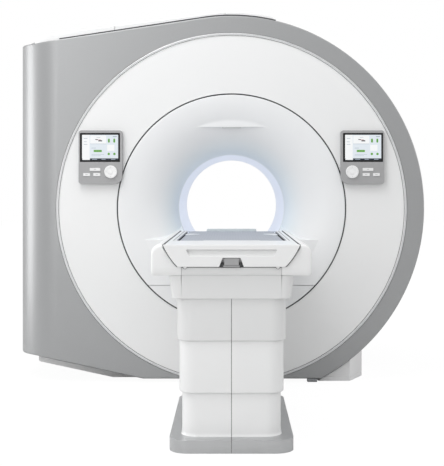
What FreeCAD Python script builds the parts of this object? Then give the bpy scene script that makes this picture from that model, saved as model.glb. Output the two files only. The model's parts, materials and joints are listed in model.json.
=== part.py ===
import FreeCAD, Part
import math
import os
import Sketcher

# A wide-bore MRI scanner with its patient table.
# Frame: X to the viewer's right, Y into the bore, Z up. The origin is on the floor under the
# isocentre. Heights called rise or drop are measured from the bore axis.
# Sizes are in millimetres.

sizes = {
    # bore, entrance funnel and the magnet around it
    "axis_height": 1115,
    "bore_radius": 350,
    "bore_half": 610,
    "front_face": 890,
    "mouth_radius": 727,
    "funnel_collar_gap": 5,
    "funnel_flange": 106,
    "panel_seam_drop": 496,
    "seam_gap": 3,
    "visor_rise": 520,
    "visor_recess": 27,
    "visor_depth": 26,
    "laser_width": 116,
    "laser_thickness": 3,
    "laser_inset": 2,
    "laser_reach": 14,
    "bore_tube_wall": 20,
    "gradient_inset": 20,
    "gradient_radius": 455,
    "magnet_inset": 235,
    "magnet_half": 700,
    "cold_head_radius": 75,
    "cold_head_height": 120,
    "cold_head_offset": 220,
    "rear_face": 890,
    "rear_lip": 10,
    "rear_collar_gap": 15,
    "rear_wall": 40,
    # magnet feet on the floor
    "foot_width": 100,
    "foot_outer": 430,
    "foot_flange_width": 80,
    "foot_flange_thickness": 30,
    "foot_half_length": 560,
    "anchor_inset": 110,
    "anchor_radius": 13,
    # front covers
    "cover_gap": 8,
    "cover_wall": 30,
    "cover_rim": 109,
    "fascia_radius": 1235,
    "fascia_wall": 40,
    "fascia_setback": 6,
    "fascia_corner": 280,
    "fascia_left": 1390,
    "fascia_top_rise": 1067,
    "fascia_side_drop": 964,
    "ground_clearance": 21,
    "fascia_foot_left": 568,
    # top and side covers
    "top_cover_proud": 30,
    "top_cover_sink": 60,
    "top_cover_left_inset": 105,
    "top_cover_left_seam": 754,
    "top_cover_right_seam": 37,
    "top_cover_right_end": 289,
    "top_cover_chamfer": 28,
    "side_cover_proud": 8,
    "side_cover_wall": 30,
    "side_cover_foot_gap": 80,
    # skirts at the floor
    "skirt_inset": 120,
    "skirt_corner_rise": 2,
    "skirt_slope_end": 786,
    "skirt_right": 602,
    "skirt_setback": 178,
    "skirt_back": 640,
    "skirt_wall": 30,
    "skirt_overlap": 99,
    "foot_cover_left": 557,
    "foot_cover_bevel": 764,
    "foot_cover_right": 864,
    "foot_cover_setback": 48,
    "foot_cover_bevel_depth": 192,
    "foot_cover_back": 300,
    "foot_cover_height": 420,
    "foot_cover_seam": 26,
    "foot_cover_seam_height": 3,
    "foot_cover_seam_depth": 3,
    "levelling_inset": 23,
    "levelling_width": 64,
    # dock for the table
    "bridge_drop": 253,
    "fairing_recess": 18,
    "fairing_slope": 0.373,
    "fairing_rise_at_throat": -105,
    "fairing_bottom_drop": 330,
    "rail_margin": 62,
    "rail_width": 30,
    "rail_height": 8.4,
    # control panels
    "panel_inner": 697,
    "panel_width": 277,
    "panel_rise": 155,
    "panel_height": 341,
    "panel_thickness": 35,
    "panel_corner": 17,
    "panel_large_corner": 50,
    "screen_inner_margin": 13,
    "screen_outer_margin": 8,
    "screen_height": 185,
    "screen_top_margin": 16,
    "screen_recess": 8,
    "screen_inset": 1,
    "dial_inset": 72,
    "dial_drop": 63,
    "dial_radius": 41,
    "dial_thickness": 12,
    "dial_gap": 0.6,
    "spindle_width": 14,
    "spindle_hole_width": 21,
    "spindle_length": 14,
    "key_gap": 0.8,
    "key_proud": 4,
    "key_depth": 9,
    "key_travel": 2.5,
    "key_height": 18.5,
    "key_inset": 66,
    "top_key_width": 68,
    "top_key_drop": 56.5,
    "inner_key_width": 45,
    "key_spacing": 21,
    "outer_key_width": 43,
    "low_key_drop": 89.5,
    # table foot and telescoping shrouds
    "table_front": 2661,
    "base_length": 1086,
    "base_half_width": 294,
    "base_height": 62,
    "base_corner": 90,
    "shroud_wall": 8,
    "shroud_corner": 78,
    "shroud_gap": 1,
    "lower_shroud_step": 13,
    "lower_shroud_top": 300,
    "middle_shroud_step": 12,
    "middle_shroud_side_step": 10.5,
    "lower_shroud_overlap": 32,
    "middle_shroud_top": 530,
    "upper_shroud_side_step": 21.5,
    "upper_shroud_step": 15,
    "upper_shroud_overlap": 13,
    "column_setback": 526,
    "column_half_width": 130,
    "column_half_length": 220,
    "column_wall": 10,
    "column_gap": 2,
    "column_lower_overlap": 34,
    "column_upper_overlap": 60,
    "flange_thickness": 8,
    # table top structure
    "support_height": 110,
    "support_setback": 36,
    "support_length": 980,
    "support_wall": 24,
    "support_corner": 44,
    "wing_depth": 34,
    "wing_setback": 21,
    "wing_gap": 15,
    "wing_lip": 52,
    "wing_overhang": 96,
    "wing_rise": 112,
    "wing_lower_round": 16,
    "wing_upper_round": 30,
    "trough_clearance": 5,
    "trough_floor_rise": 7,
    "front_panel_inset": 24,
    "motor_width": 120,
    "motor_length": 90,
    "motor_height": 58,
    "motor_setback": 161,
    "belt_width": 30,
    "belt_thickness": 4,
    "belt_inset": 30,
    # sliding tabletop
    "cradle_clearance": 3,
    "cradle_slide_gap": 0.6,
    "cradle_height": 101,
    "cradle_gap": 30,
    "cap_proud": 2,
    "cap_rise": 1,
    "cap_depth": 60,
    "cradle_rim": 22,
    "pocket_rise": 77,
    "pad_side_gap": 3,
    "pad_thickness": 25,
    "pad_front_gap": 3,
    "pad_setback": 447,
    "pad_edge": 8,
    "socket_half": 158,
    "socket_gap": 3,
    "socket_length": 50,
    "socket_inset": 5,
    "socket_height": 40,
    "grip_bottom_half": 196,
    "grip_top_half": 211,
    "grip_rise": 49,
    "grip_height": 32,
    "grip_depth": 38,
    "latch_half": 56,
    "latch_height": 44,
    "latch_depth": 21,
    "handle_half": 48,
    "handle_bottom_gap": 2,
    "handle_top_gap": 4,
    "handle_front_gap": 3,
    "handle_thickness": 10,
    "pin_radius": 3,
    "pin_end_gap": 0.4,
    "pin_drop": 4,
}

doc = FreeCAD.newDocument("mri_scanner")
sheet = doc.addObject("Spreadsheet::Sheet", "Sizes")


class Term:
    # A number together with the sheet expression that gives it.
    def __init__(self, value, text):
        self.value = value
        self.text = text

    def __add__(self, other):
        return combine(self, "+", other)

    def __radd__(self, other):
        return combine(other, "+", self)

    def __sub__(self, other):
        return combine(self, "-", other)

    def __rsub__(self, other):
        return combine(other, "-", self)

    def __mul__(self, other):
        return combine(self, "*", other)

    def __rmul__(self, other):
        return combine(other, "*", self)

    def __truediv__(self, other):
        return combine(self, "/", other)

    def __neg__(self):
        return combine(0, "-", self)


def asTerm(item):
    return item if isinstance(item, Term) else Term(float(item), "%.6f" % item)


def combine(left, sign, right):
    a, b = asTerm(left), asTerm(right)
    if sign == "/":
        value = a.value / b.value
    else:
        value = {"+": a.value + b.value, "-": a.value - b.value, "*": a.value * b.value}[sign]
    return Term(value, "(%s %s %s)" % (a.text, sign, b.text))


def root(item):
    return Term(math.sqrt(item.value), "sqrt(%s)" % item.text)


def leg(hypotenuse, other):
    # the second short side of a right triangle
    return root(hypotenuse * hypotenuse - other * other)


class Sizes:
    pass


def fillSheet():
    s = Sizes()
    for row, (name, value) in enumerate(sizes.items(), 1):
        sheet.set("A%d" % row, name)
        sheet.set("B%d" % row, str(value))
        sheet.setAlias("B%d" % row, name)
        setattr(s, name, Term(float(value), "Sizes." + name))
    doc.recompute()
    return s


s = fillSheet()


def tieGantry():
    # what follows from the bore, the axis height and the covers' outline
    s.funnel_collar_radius = s.gradient_radius - s.funnel_collar_gap
    s.rear_collar_radius = s.gradient_radius - s.rear_collar_gap
    s.rear_mouth_radius = s.rear_collar_radius - s.rear_lip
    s.gradient_half = s.bore_half - s.gradient_inset
    s.magnet_radius = s.fascia_radius - s.magnet_inset
    s.cold_head_top = s.magnet_radius + s.cold_head_height
    s.foot_inner = s.foot_outer - s.foot_width
    s.foot_flange = s.foot_outer + s.foot_flange_width
    s.anchor_x = s.foot_outer + s.foot_flange
    s.anchor_y = 2 * (s.foot_half_length - s.anchor_inset)
    s.cover_radius = s.fascia_radius - s.cover_rim
    s.fascia_foot_drop = s.axis_height - s.ground_clearance
    s.fascia_foot_right = leg(s.fascia_radius, s.fascia_foot_drop)
    s.top_cover_left_end = s.fascia_left - s.top_cover_left_inset
    s.skirt_left = s.fascia_left - s.skirt_inset
    s.skirt_front = s.front_face - s.skirt_setback
    s.skirt_corner_height = s.axis_height - s.fascia_side_drop + s.skirt_corner_rise
    s.skirt_top = s.axis_height - s.fascia_side_drop + s.skirt_overlap
    s.foot_cover_front = s.front_face - s.foot_cover_setback
    s.levelling_right = s.fascia_foot_right - s.levelling_inset
    s.levelling_left = s.levelling_right - s.levelling_width


def tiePanels():
    # a panel moves as one, from its inner lower corner
    s.panel_outer = s.panel_inner + s.panel_width
    s.panel_bottom = s.axis_height + s.panel_rise
    s.panel_top = s.panel_bottom + s.panel_height
    s.screen_inner = s.panel_inner + s.screen_inner_margin
    s.screen_outer = s.panel_outer - s.screen_outer_margin
    s.screen_top = s.panel_top - s.screen_top_margin
    s.screen_bottom = s.screen_top - s.screen_height
    s.dial_x = s.panel_inner + s.dial_inset
    s.dial_height = s.screen_bottom - s.dial_drop
    s.top_key_inner = s.inner_key_inner = s.dial_x + s.key_inset
    s.top_key_outer = s.top_key_inner + s.top_key_width
    s.inner_key_outer = s.inner_key_inner + s.inner_key_width
    s.outer_key_inner = s.inner_key_outer + s.key_spacing
    s.outer_key_outer = s.outer_key_inner + s.outer_key_width
    s.top_key_bottom = s.screen_bottom - s.top_key_drop
    s.low_key_bottom = s.screen_bottom - s.low_key_drop


def tieTableTop():
    # heights are measured up from the frame's top, which is level with the bridge in the bore
    s.frame_top = s.axis_height - s.bridge_drop
    s.wing_bottom = s.frame_top - s.wing_depth
    s.wing_top = s.frame_top + s.wing_rise
    s.support_bottom = s.wing_bottom - s.support_height
    s.trough_floor = s.frame_top + s.trough_floor_rise
    s.cradle_bottom = s.frame_top + s.rail_height + s.cradle_slide_gap
    s.cradle_top = s.cradle_bottom + s.cradle_height
    s.cap_top = s.cradle_top + s.cap_rise
    s.pocket_floor = s.cradle_bottom + s.pocket_rise
    s.pad_top = s.pocket_floor + s.pad_thickness
    s.grip_bottom = s.cradle_bottom + s.grip_rise
    s.grip_top = s.grip_bottom + s.grip_height
    s.latch_top = s.cradle_bottom + s.latch_height
    s.handle_bottom = s.cradle_bottom + s.handle_bottom_gap
    s.handle_top = s.latch_top - s.handle_top_gap
    # widths follow the bore, which the cradle slides into
    s.cradle_radius = s.bore_radius - s.cradle_clearance
    s.cap_radius = s.bore_radius + s.cap_proud
    s.trough_radius = s.bore_radius + s.trough_clearance
    s.pocket_half = leg(s.cradle_radius, s.axis_height - s.cradle_top) - s.cradle_rim
    s.pad_half = s.pocket_half - s.pad_side_gap
    s.rail_outer = leg(s.bore_radius, s.bridge_drop) - s.rail_margin
    s.rail_inner = s.rail_outer - s.rail_width
    s.wing_half_width = leg(s.trough_radius, s.axis_height - s.wing_top) + s.wing_lip
    s.front_panel_half = leg(s.trough_radius, s.axis_height - s.trough_floor) - s.front_panel_inset
    s.wing_back = s.front_face + s.wing_gap
    s.cradle_back = s.front_face + s.cradle_gap
    # the mattress lies between the white foot end and the socket housing
    s.pad_front = s.table_front - s.pad_setback
    s.socket_back = s.cradle_back + s.socket_inset
    s.pad_back = s.socket_back + s.socket_length + s.socket_gap


def tieTableFoot():
    # fronts are measured back from the table's front, and each shroud nests in the next
    s.base_back = s.table_front - s.base_length
    s.wing_front = s.table_front - s.wing_setback
    s.support_front = s.table_front - s.support_setback
    s.support_back = s.support_front - s.support_length
    s.support_half = s.wing_half_width - s.wing_overhang
    s.motor_front = s.table_front - s.motor_setback
    s.column_centre = s.table_front - s.column_setback
    outer = (s.support_half, s.support_front, s.support_back)
    for name, side, step in (("upper", s.upper_shroud_side_step, s.upper_shroud_step),
                             ("middle", s.middle_shroud_side_step, s.middle_shroud_step),
                             ("lower", s.lower_shroud_step, s.lower_shroud_step)):
        outer = (outer[0] - side, outer[1] - step, outer[2] + step)
        for part, size in zip(("half", "front", "back"), outer):
            setattr(s, "%s_shroud_%s" % (name, part), size)
    s.middle_shroud_bottom = s.lower_shroud_top - s.lower_shroud_overlap
    s.upper_shroud_bottom = s.middle_shroud_top - s.upper_shroud_overlap
    s.column_outer_top = s.lower_shroud_top
    s.column_middle_bottom = s.lower_shroud_top - s.column_lower_overlap
    s.column_inner_bottom = s.middle_shroud_top - s.column_upper_overlap


tieGantry()
tiePanels()
tieTableTop()
tieTableFoot()


class Outline:
    # A closed run of points joined by lines and arcs. The last point joins the first.
    def __init__(self, x, y):
        self.points = [(asTerm(x), asTerm(y))]
        self.arcs = {}

    def line(self, x, y):
        self.points.append((asTerm(x), asTerm(y)))
        return self

    def arc(self, x, y, centreX, centreY, radius, turn):
        # turn is 1 for anticlockwise and -1 for clockwise
        self.bend(centreX, centreY, radius, turn)
        return self.line(x, y)

    def bend(self, centreX, centreY, radius, turn):
        centre = (asTerm(centreX).value, asTerm(centreY).value)
        self.arcs[len(self.points) - 1] = (centre, asTerm(radius), turn)
        return self


def bind(item, name, size):
    item.setExpression(name, asTerm(size).text)


def place(item, x, y, z):
    for axis, size in zip("xyz", (x, y, z)):
        bind(item, "Placement.Base." + axis, size)


def hold(sketch, kind, *ends, size):
    number = sketch.addConstraint(Sketcher.Constraint(kind, *ends, asTerm(size).value))
    bind(sketch, "Constraints[%d]" % number, size)


def drawEdge(sketch, start, end, arc):
    # Draws one edge and gives the ends that its start and its end became.
    if arc is None:
        sketch.addGeometry(Part.LineSegment(start, end), False)
        return 1, 2
    centre, radius, turn = arc
    middle = FreeCAD.Vector(centre[0], centre[1], 0)
    angles = [math.atan2(point.y - middle.y, point.x - middle.x) for point in (start, end)][::turn]
    circle = Part.Circle(middle, FreeCAD.Vector(0, 0, 1), radius.value)
    sketch.addGeometry(Part.ArcOfCircle(circle, angles[0], angles[1]), False)
    return (1, 2) if turn == 1 else (2, 1)


def drawOutline(sketch, outline):
    first = sketch.GeometryCount
    spots = [FreeCAD.Vector(x.value, y.value, 0) for x, y in outline.points]
    count = len(spots)
    ends = [drawEdge(sketch, spots[i], spots[(i + 1) % count], outline.arcs.get(i)) for i in range(count)]
    for i in range(count):
        following = (i + 1) % count
        joint = (first + i, ends[i][1], first + following, ends[following][0])
        sketch.addConstraint(Sketcher.Constraint("Coincident", *joint))
    for i, (x, y) in enumerate(outline.points):
        hold(sketch, "DistanceX", -1, 1, first + i, ends[i][0], size=x)
        hold(sketch, "DistanceY", -1, 1, first + i, ends[i][0], size=y)
        if i in outline.arcs:
            hold(sketch, "Radius", first + i, size=outline.arcs[i][1])


def drawCircle(sketch, x, y, radius):
    centre = FreeCAD.Vector(asTerm(x).value, asTerm(y).value, 0)
    circle = Part.Circle(centre, FreeCAD.Vector(0, 0, 1), asTerm(radius).value)
    number = sketch.addGeometry(circle, False)
    hold(sketch, "DistanceX", -1, 1, number, 3, size=x)
    hold(sketch, "DistanceY", -1, 1, number, 3, size=y)
    hold(sketch, "Radius", number, size=radius)


def bodyWithSketch(label, role):
    body = doc.addObject("PartDesign::Body", label)
    body.Label = label
    sketch = body.newObject("Sketcher::SketchObject", label + "_sketch")
    plane = next(item for item in body.Origin.OriginFeatures if item.Role == role)
    sketch.AttachmentSupport = [(plane, "")]
    sketch.MapMode = "FlatFace"
    return body, sketch


def pad(label, outlines, length, at, role="XZ_Plane", circles=()):
    # Outlines on the XZ plane grow towards +Y, those on XY towards +Z and on YZ towards +X.
    body, sketch = bodyWithSketch(label, role)
    for outline in outlines:
        drawOutline(sketch, outline)
    for circle in circles:
        drawCircle(sketch, *circle)
    feature = body.newObject("PartDesign::Pad", label + "_pad")
    feature.Profile = sketch
    bind(feature, "Length", length)
    feature.Reversed = role == "XZ_Plane"
    place(body, *at)
    return body


def turned(label, outline):
    # Radius and Y position of the outline, turned about the bore axis.
    body, sketch = bodyWithSketch(label, "XY_Plane")
    drawOutline(sketch, outline)
    feature = body.newObject("PartDesign::Revolution", label + "_turn")
    feature.Profile = sketch
    feature.ReferenceAxis = (sketch, ["V_Axis"])
    feature.Angle = 360
    place(body, 0, 0, s.axis_height)
    return body


def rectangle(left, bottom, right, top):
    return Outline(left, bottom).line(right, bottom).line(right, top).line(left, top)


def roundedRectangle(left, bottom, right, top, corner):
    path = Outline(left + corner, bottom).line(right - corner, bottom)
    path.arc(right, bottom + corner, right - corner, bottom + corner, corner, 1)
    path.line(right, top - corner).arc(right - corner, top, right - corner, top - corner, corner, 1)
    path.line(left + corner, top).arc(left, top - corner, left + corner, top - corner, corner, 1)
    path.line(left, bottom + corner)
    return path.bend(left + corner, bottom + corner, corner, 1)


def block(label, low, high):
    item = doc.addObject("Part::Box", label)
    for name, start, end in zip(("Length", "Width", "Height"), low, high):
        bind(item, name, end - start)
    place(item, *low)
    return item


def cylinder(label, radius, height, at, along="z"):
    item = doc.addObject("Part::Cylinder", label)
    bind(item, "Radius", radius)
    bind(item, "Height", height)
    turns = {"z": (FreeCAD.Vector(0, 0, 1), 0), "x": (FreeCAD.Vector(0, 1, 0), 90),
             "y": (FreeCAD.Vector(1, 0, 0), -90)}
    item.Placement.Rotation = FreeCAD.Rotation(*turns[along])
    place(item, *at)
    return item


def boolean(kind, label, base, tool):
    item = doc.addObject("Part::" + kind, label)
    item.Base = base
    item.Tool = tool
    return item


def cut(label, base, tool):
    return boolean("Cut", label, base, tool)


def common(label, base, tool):
    return boolean("Common", label, base, tool)


def joined(label, pieces):
    item = doc.addObject("Part::MultiFuse", label)
    item.Shapes = pieces
    return item


def ring(label, inner, outer, front, back):
    return turned(label, rectangle(inner, front, outer, back))


# ---- entrance funnel ----

# The trumpet's section is a quarter of an ellipse, in line with the bore and with the flat front.
trumpet_reach = s.mouth_radius - s.bore_radius
trumpet_depth = s.front_face - s.bore_half
trumpet_steps = 5


def ellipsePoint(reach, depth, share):
    # share runs from 0 at the bore to 1 at the mouth
    angle = math.pi / 2 * share
    return s.mouth_radius - reach * math.cos(angle), -s.bore_half - depth * math.sin(angle)


def radiusAtDepth(y):
    # the trumpet's radius at this Y
    sine = (-s.bore_half - y) / trumpet_depth
    return s.mouth_radius - trumpet_reach * leg(asTerm(1), sine)


def trumpetPath():
    path = Outline(s.bore_radius, -s.bore_half)
    for step in range(1, trumpet_steps):
        path.line(*ellipsePoint(trumpet_reach, trumpet_depth, step / trumpet_steps))
    return path.line(s.mouth_radius, -s.front_face)


def makeFunnel():
    # the back is a straight collar and a flat flange behind the trumpet
    backFace = s.funnel_flange - s.front_face
    outline = trumpetPath().line(s.mouth_radius, backFace)
    outline.line(s.funnel_collar_radius, backFace).line(s.funnel_collar_radius, -s.bore_half)
    shell = turned("funnel_shell", outline)
    seam = s.axis_height - s.panel_seam_drop
    reach = s.mouth_radius + s.cover_gap
    low = (-reach, -s.front_face - s.cover_wall, s.axis_height - reach)
    below = block("funnel_below_seam", low, (reach, -s.bore_half, seam))
    common("funnel_lower_panel", shell, below)
    aboveStart = (reach, -s.bore_half, seam + s.seam_gap)
    gapBlock = block("funnel_seam_gap", low, aboveStart)
    upper = cut("funnel_above_seam", shell, gapBlock)
    joined("funnel_upper", [upper, makeVisor()])
    makeLaserWindow()


def makeVisor():
    # A flat facet across the trumpet: its lower edge is the ledge over the laser window.
    front = s.visor_recess - s.front_face
    topRise = radiusAtDepth(front)
    half = leg(topRise, s.visor_rise)
    low = (-half, front, s.axis_height + s.visor_rise)
    return block("visor_facet", low, (half, front + s.visor_depth, s.axis_height + topRise))


def makeLaserWindow():
    front = s.visor_recess - s.front_face + s.laser_inset
    top = s.axis_height + s.visor_rise
    half = s.laser_width / 2
    block("laser_window", (-half, front, top - s.laser_thickness), (half, front + s.laser_reach, top))


# ---- magnet, coils and their feet ----

def makeBoreTubes():
    # the patient tube carries the body coil, and the gradient coil sits in the magnet's warm bore
    tubeOuter = s.bore_radius + s.bore_tube_wall
    ring("body_coil_tube", s.bore_radius, tubeOuter, -s.bore_half, s.bore_half)
    ring("gradient_coil", tubeOuter, s.gradient_radius, -s.gradient_half, s.gradient_half)
    ring("magnet_vessel", s.gradient_radius, s.magnet_radius, -s.magnet_half, s.magnet_half)


def makeColdHead():
    tower = cylinder("cold_head_tower", s.cold_head_radius, s.cold_head_top - s.visor_rise,
                     (s.cold_head_offset, 0, s.axis_height + s.visor_rise))
    vessel = cylinder("cold_head_seat", s.magnet_radius, 2 * s.magnet_half,
                      (0, -s.magnet_half, s.axis_height), "y")
    cut("cold_head", tower, vessel)


def footOutline(sign):
    floor = -s.axis_height
    ledge = s.foot_flange_thickness - s.axis_height
    outerRise = -leg(s.magnet_radius, s.foot_outer)
    innerRise = -leg(s.magnet_radius, s.foot_inner)
    path = Outline(sign * s.foot_inner, floor).line(sign * s.foot_flange, floor)
    path.line(sign * s.foot_flange, ledge).line(sign * s.foot_outer, ledge)
    path.line(sign * s.foot_outer, outerRise)
    return path.arc(sign * s.foot_inner, innerRise, 0, 0, s.magnet_radius, -sign)


def makeMagnetFeet():
    at = (0, -s.foot_half_length, s.axis_height)
    beams = [pad("magnet_beam_" + side, [footOutline(sign)], 2 * s.foot_half_length, at)
             for side, sign in (("left", -1), ("right", 1))]
    holes = [cylinder("anchor_hole_%d%d" % (i, j), s.anchor_radius, s.foot_flange_thickness,
                      (s.anchor_x * (i - 0.5), s.anchor_y * (j - 0.5), 0))
             for i in (0, 1) for j in (0, 1)]
    cut("magnet_feet", joined("magnet_beams", beams), joined("anchor_holes", holes))


# ---- front covers ----

outline_span = s.fascia_left * s.fascia_left + s.fascia_top_rise * s.fascia_top_rise
outline_pull = s.fascia_radius * s.fascia_radius / outline_span
outline_swing = s.fascia_radius * root(outline_span - s.fascia_radius * s.fascia_radius) / outline_span
# where the sloping top edge leaves the round edge
top_tangent_x = s.fascia_top_rise * outline_swing - s.fascia_left * outline_pull
top_tangent_rise = s.fascia_left * outline_swing + s.fascia_top_rise * outline_pull


def bodyOutline():
    # the machine's outline from the front, about the bore axis
    path = Outline(top_tangent_x, top_tangent_rise)
    path.arc(s.fascia_foot_right, -s.fascia_foot_drop, 0, 0, s.fascia_radius, -1)
    path.line(-s.fascia_foot_left, -s.fascia_foot_drop)
    return path.line(-s.fascia_left, -s.fascia_side_drop).line(-s.fascia_left, s.fascia_top_rise)


fascia_front = s.fascia_setback - s.front_face
corner_x = s.fascia_corner - s.fascia_left
corner_y = fascia_front + s.fascia_corner


def hollowPlan():
    # seen from above: what is hollowed out behind the fascia
    wall = s.fascia_wall
    right = s.fascia_radius + wall
    left = wall - s.fascia_left
    path = Outline(right, fascia_front + wall).line(right, corner_y + wall)
    path.line(left, corner_y + wall).line(left, corner_y)
    return path.arc(corner_x, fascia_front + wall, corner_x, corner_y, s.fascia_corner - wall, 1)


def cornerWaste(inset):
    # seen from above: what lies outside the round left corner, drawn in by the inset
    wall = s.fascia_wall
    left = -s.fascia_left - wall
    path = Outline(left, fascia_front - wall).line(corner_x, fascia_front - wall)
    path.line(corner_x, fascia_front + inset)
    path.arc(inset - s.fascia_left, corner_y, corner_x, corner_y, s.fascia_corner - inset, -1)
    return path.line(left, corner_y)


def tallTool(label, plan):
    # the plan carried through the whole height of the covers
    reach = s.fascia_radius + s.fascia_wall
    return pad(label, [plan], 2 * reach, (0, 0, s.axis_height - reach), "XY_Plane")


def makeFrontCovers():
    slab = pad("fascia_slab", [bodyOutline()], s.fascia_corner, (0, fascia_front, s.axis_height))
    opening = cylinder("fascia_opening", s.cover_radius, s.fascia_corner, (0, fascia_front, s.axis_height), "y")
    tools = [tallTool("fascia_hollow", hollowPlan()), tallTool("fascia_waste", cornerWaste(asTerm(0))), opening]
    cut("front_fascia", slab, joined("fascia_tools", tools))
    # the round cover ends in line with the fascia's lower edge
    reach = s.fascia_radius + s.fascia_wall
    back = s.cover_wall - s.front_face
    low = (-reach, -s.front_face - s.fascia_wall, s.axis_height - reach)
    below = block("below_covers", low, (reach, back + s.cover_wall, s.axis_height - s.fascia_foot_drop))
    disc = ring("cover_disc", s.mouth_radius + s.cover_gap, s.cover_radius, -s.front_face, back)
    cut("front_cover_ring", disc, below)


def topLineRise(x, proud):
    # height of a line that runs beside the sloping top edge at this distance from it
    reach = s.fascia_radius + proud
    return (reach * s.fascia_radius - top_tangent_x * x) / top_tangent_rise


cover_front = fascia_front + s.fascia_wall
cover_back = s.rear_face - s.rear_wall


def makeTopCovers():
    proud = s.top_cover_proud
    arcRadius = s.fascia_radius + proud
    inner = s.fascia_radius - s.top_cover_sink
    leftEnd, leftSeam = -s.top_cover_left_end, -s.top_cover_left_seam
    rightSeam, rightEnd = -s.top_cover_right_seam, s.top_cover_right_end
    chamferX = leftEnd + s.top_cover_chamfer
    left = Outline(leftEnd, topLineRise(leftEnd, -s.top_cover_sink))
    left.line(leftSeam, topLineRise(leftSeam, -s.top_cover_sink)).line(leftSeam, topLineRise(leftSeam, proud))
    left.line(chamferX, topLineRise(chamferX, proud)).line(leftEnd, topLineRise(leftEnd, 0))
    grow = arcRadius / s.fascia_radius
    middle = Outline(leftSeam, topLineRise(leftSeam, -s.top_cover_sink)).line(rightSeam, leg(inner, rightSeam))
    middle.line(rightSeam, leg(arcRadius, rightSeam))
    middle.arc(top_tangent_x * grow, top_tangent_rise * grow, 0, 0, arcRadius, 1)
    middle.line(leftSeam, topLineRise(leftSeam, proud))
    chamferEnd = rightEnd - s.top_cover_chamfer
    right = Outline(rightSeam, leg(inner, rightSeam)).line(rightEnd, leg(inner, rightEnd))
    right.line(rightEnd, leg(s.fascia_radius, rightEnd)).line(chamferEnd, leg(arcRadius, chamferEnd))
    right.arc(rightSeam, leg(arcRadius, rightSeam), 0, 0, arcRadius, 1)
    length, at = cover_back - cover_front, (0, cover_front, s.axis_height)
    panel = pad("top_panel_left", [left], length, at)
    cut("top_cover_left", panel, tallTool("top_panel_waste", cornerWaste(s.fascia_wall)))
    pad("top_cover_middle", [middle], length, at)
    pad("top_cover_right", [right], length, at)


def makeSideCovers():
    wall = s.fascia_wall
    inner = wall - s.fascia_left
    end = -s.top_cover_left_end
    slope = (s.fascia_foot_drop - s.fascia_side_drop) / (s.fascia_left - s.fascia_foot_left)
    left = Outline(-s.fascia_left, -s.fascia_side_drop).line(inner, -s.fascia_side_drop - wall * slope)
    left.line(inner, topLineRise(inner, -wall)).line(end, topLineRise(end, -wall))
    left.line(end, topLineRise(end, 0)).line(-s.fascia_left, s.fascia_top_rise)
    side = pad("side_panel_left", [left], cover_back - corner_y, (0, corner_y, s.axis_height))
    # its top edge runs on to the front, inside the fascia's round corner
    strip = Outline(inner, topLineRise(inner, -wall)).line(end, topLineRise(end, -wall))
    strip.line(end, topLineRise(end, 0)).line(inner, topLineRise(inner, 0))
    edge = pad("side_edge_left", [strip], corner_y - cover_front, (0, cover_front, s.axis_height))
    trimmed = cut("side_edge_trimmed", edge, tallTool("side_edge_waste", cornerWaste(wall)))
    joined("side_cover_left", [side, trimmed])
    outer = s.fascia_radius + s.side_cover_proud
    shell = outer - s.side_cover_wall
    start = s.top_cover_right_end
    right = Outline(start, leg(outer, start))
    # it ends clear of the magnet's foot, square to the round
    endX = s.foot_flange + s.side_cover_foot_gap
    endRise = -leg(outer, endX)
    right.arc(endX, endRise, 0, 0, outer, -1)
    right.line(endX * shell / outer, endRise * shell / outer)
    right.arc(start, leg(shell, start), 0, 0, shell, 1)
    pad("side_cover_right", [right], cover_back - cover_front, (0, cover_front, s.axis_height))


def makeRearCover():
    # a flat back with a flared exit of its own moulding
    plate = pad("rear_plate", [bodyOutline()], s.rear_wall, (0, cover_back, s.axis_height),
                circles=[(0, 0, s.rear_collar_radius)])
    flare = Outline(s.bore_radius, s.bore_half).line(s.rear_collar_radius, s.bore_half)
    flare.line(s.rear_collar_radius, s.rear_face).line(s.rear_mouth_radius, s.rear_face)
    joined("rear_cover", [plate, turned("rear_flare", flare)])


def skirtOutline(wall):
    # the skirt's section, drawn in by the wall on the sides that face out
    slopeRun = s.skirt_left - s.skirt_slope_end
    slopeLength = root(slopeRun * slopeRun + s.skirt_corner_height * s.skirt_corner_height)
    lift = wall * slopeLength / slopeRun
    slope = s.skirt_corner_height / slopeRun
    cornerRise = s.skirt_corner_height + lift - wall * slope
    flatStart = -s.skirt_slope_end + (slopeLength * wall / slopeRun - wall) / slope
    path = Outline(wall - s.skirt_left, s.skirt_top).line(wall - s.skirt_left, cornerRise)
    path.line(flatStart, asTerm(wall)).line(-s.skirt_right, asTerm(wall))
    return path.line(-s.skirt_right, s.skirt_top)


def makeSkirt():
    length = s.skirt_front + s.skirt_back
    shell = pad("skirt_outer", [skirtOutline(asTerm(0))], length, (0, -s.skirt_front, 0))
    hollow = pad("skirt_inner", [skirtOutline(s.skirt_wall)], length, (0, s.skirt_wall - s.skirt_front, 0))
    cut("bottom_skirt_left", shell, hollow)


def footCoverPlan(inset):
    front = inset - s.foot_cover_front
    right = s.foot_cover_right - inset
    bevelY = s.foot_cover_bevel_depth - s.foot_cover_front
    left = s.foot_cover_left + inset
    path = Outline(left, front).line(s.foot_cover_bevel, front).line(right, bevelY)
    return path.line(right, -s.foot_cover_back).line(left, -s.foot_cover_back)


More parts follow.
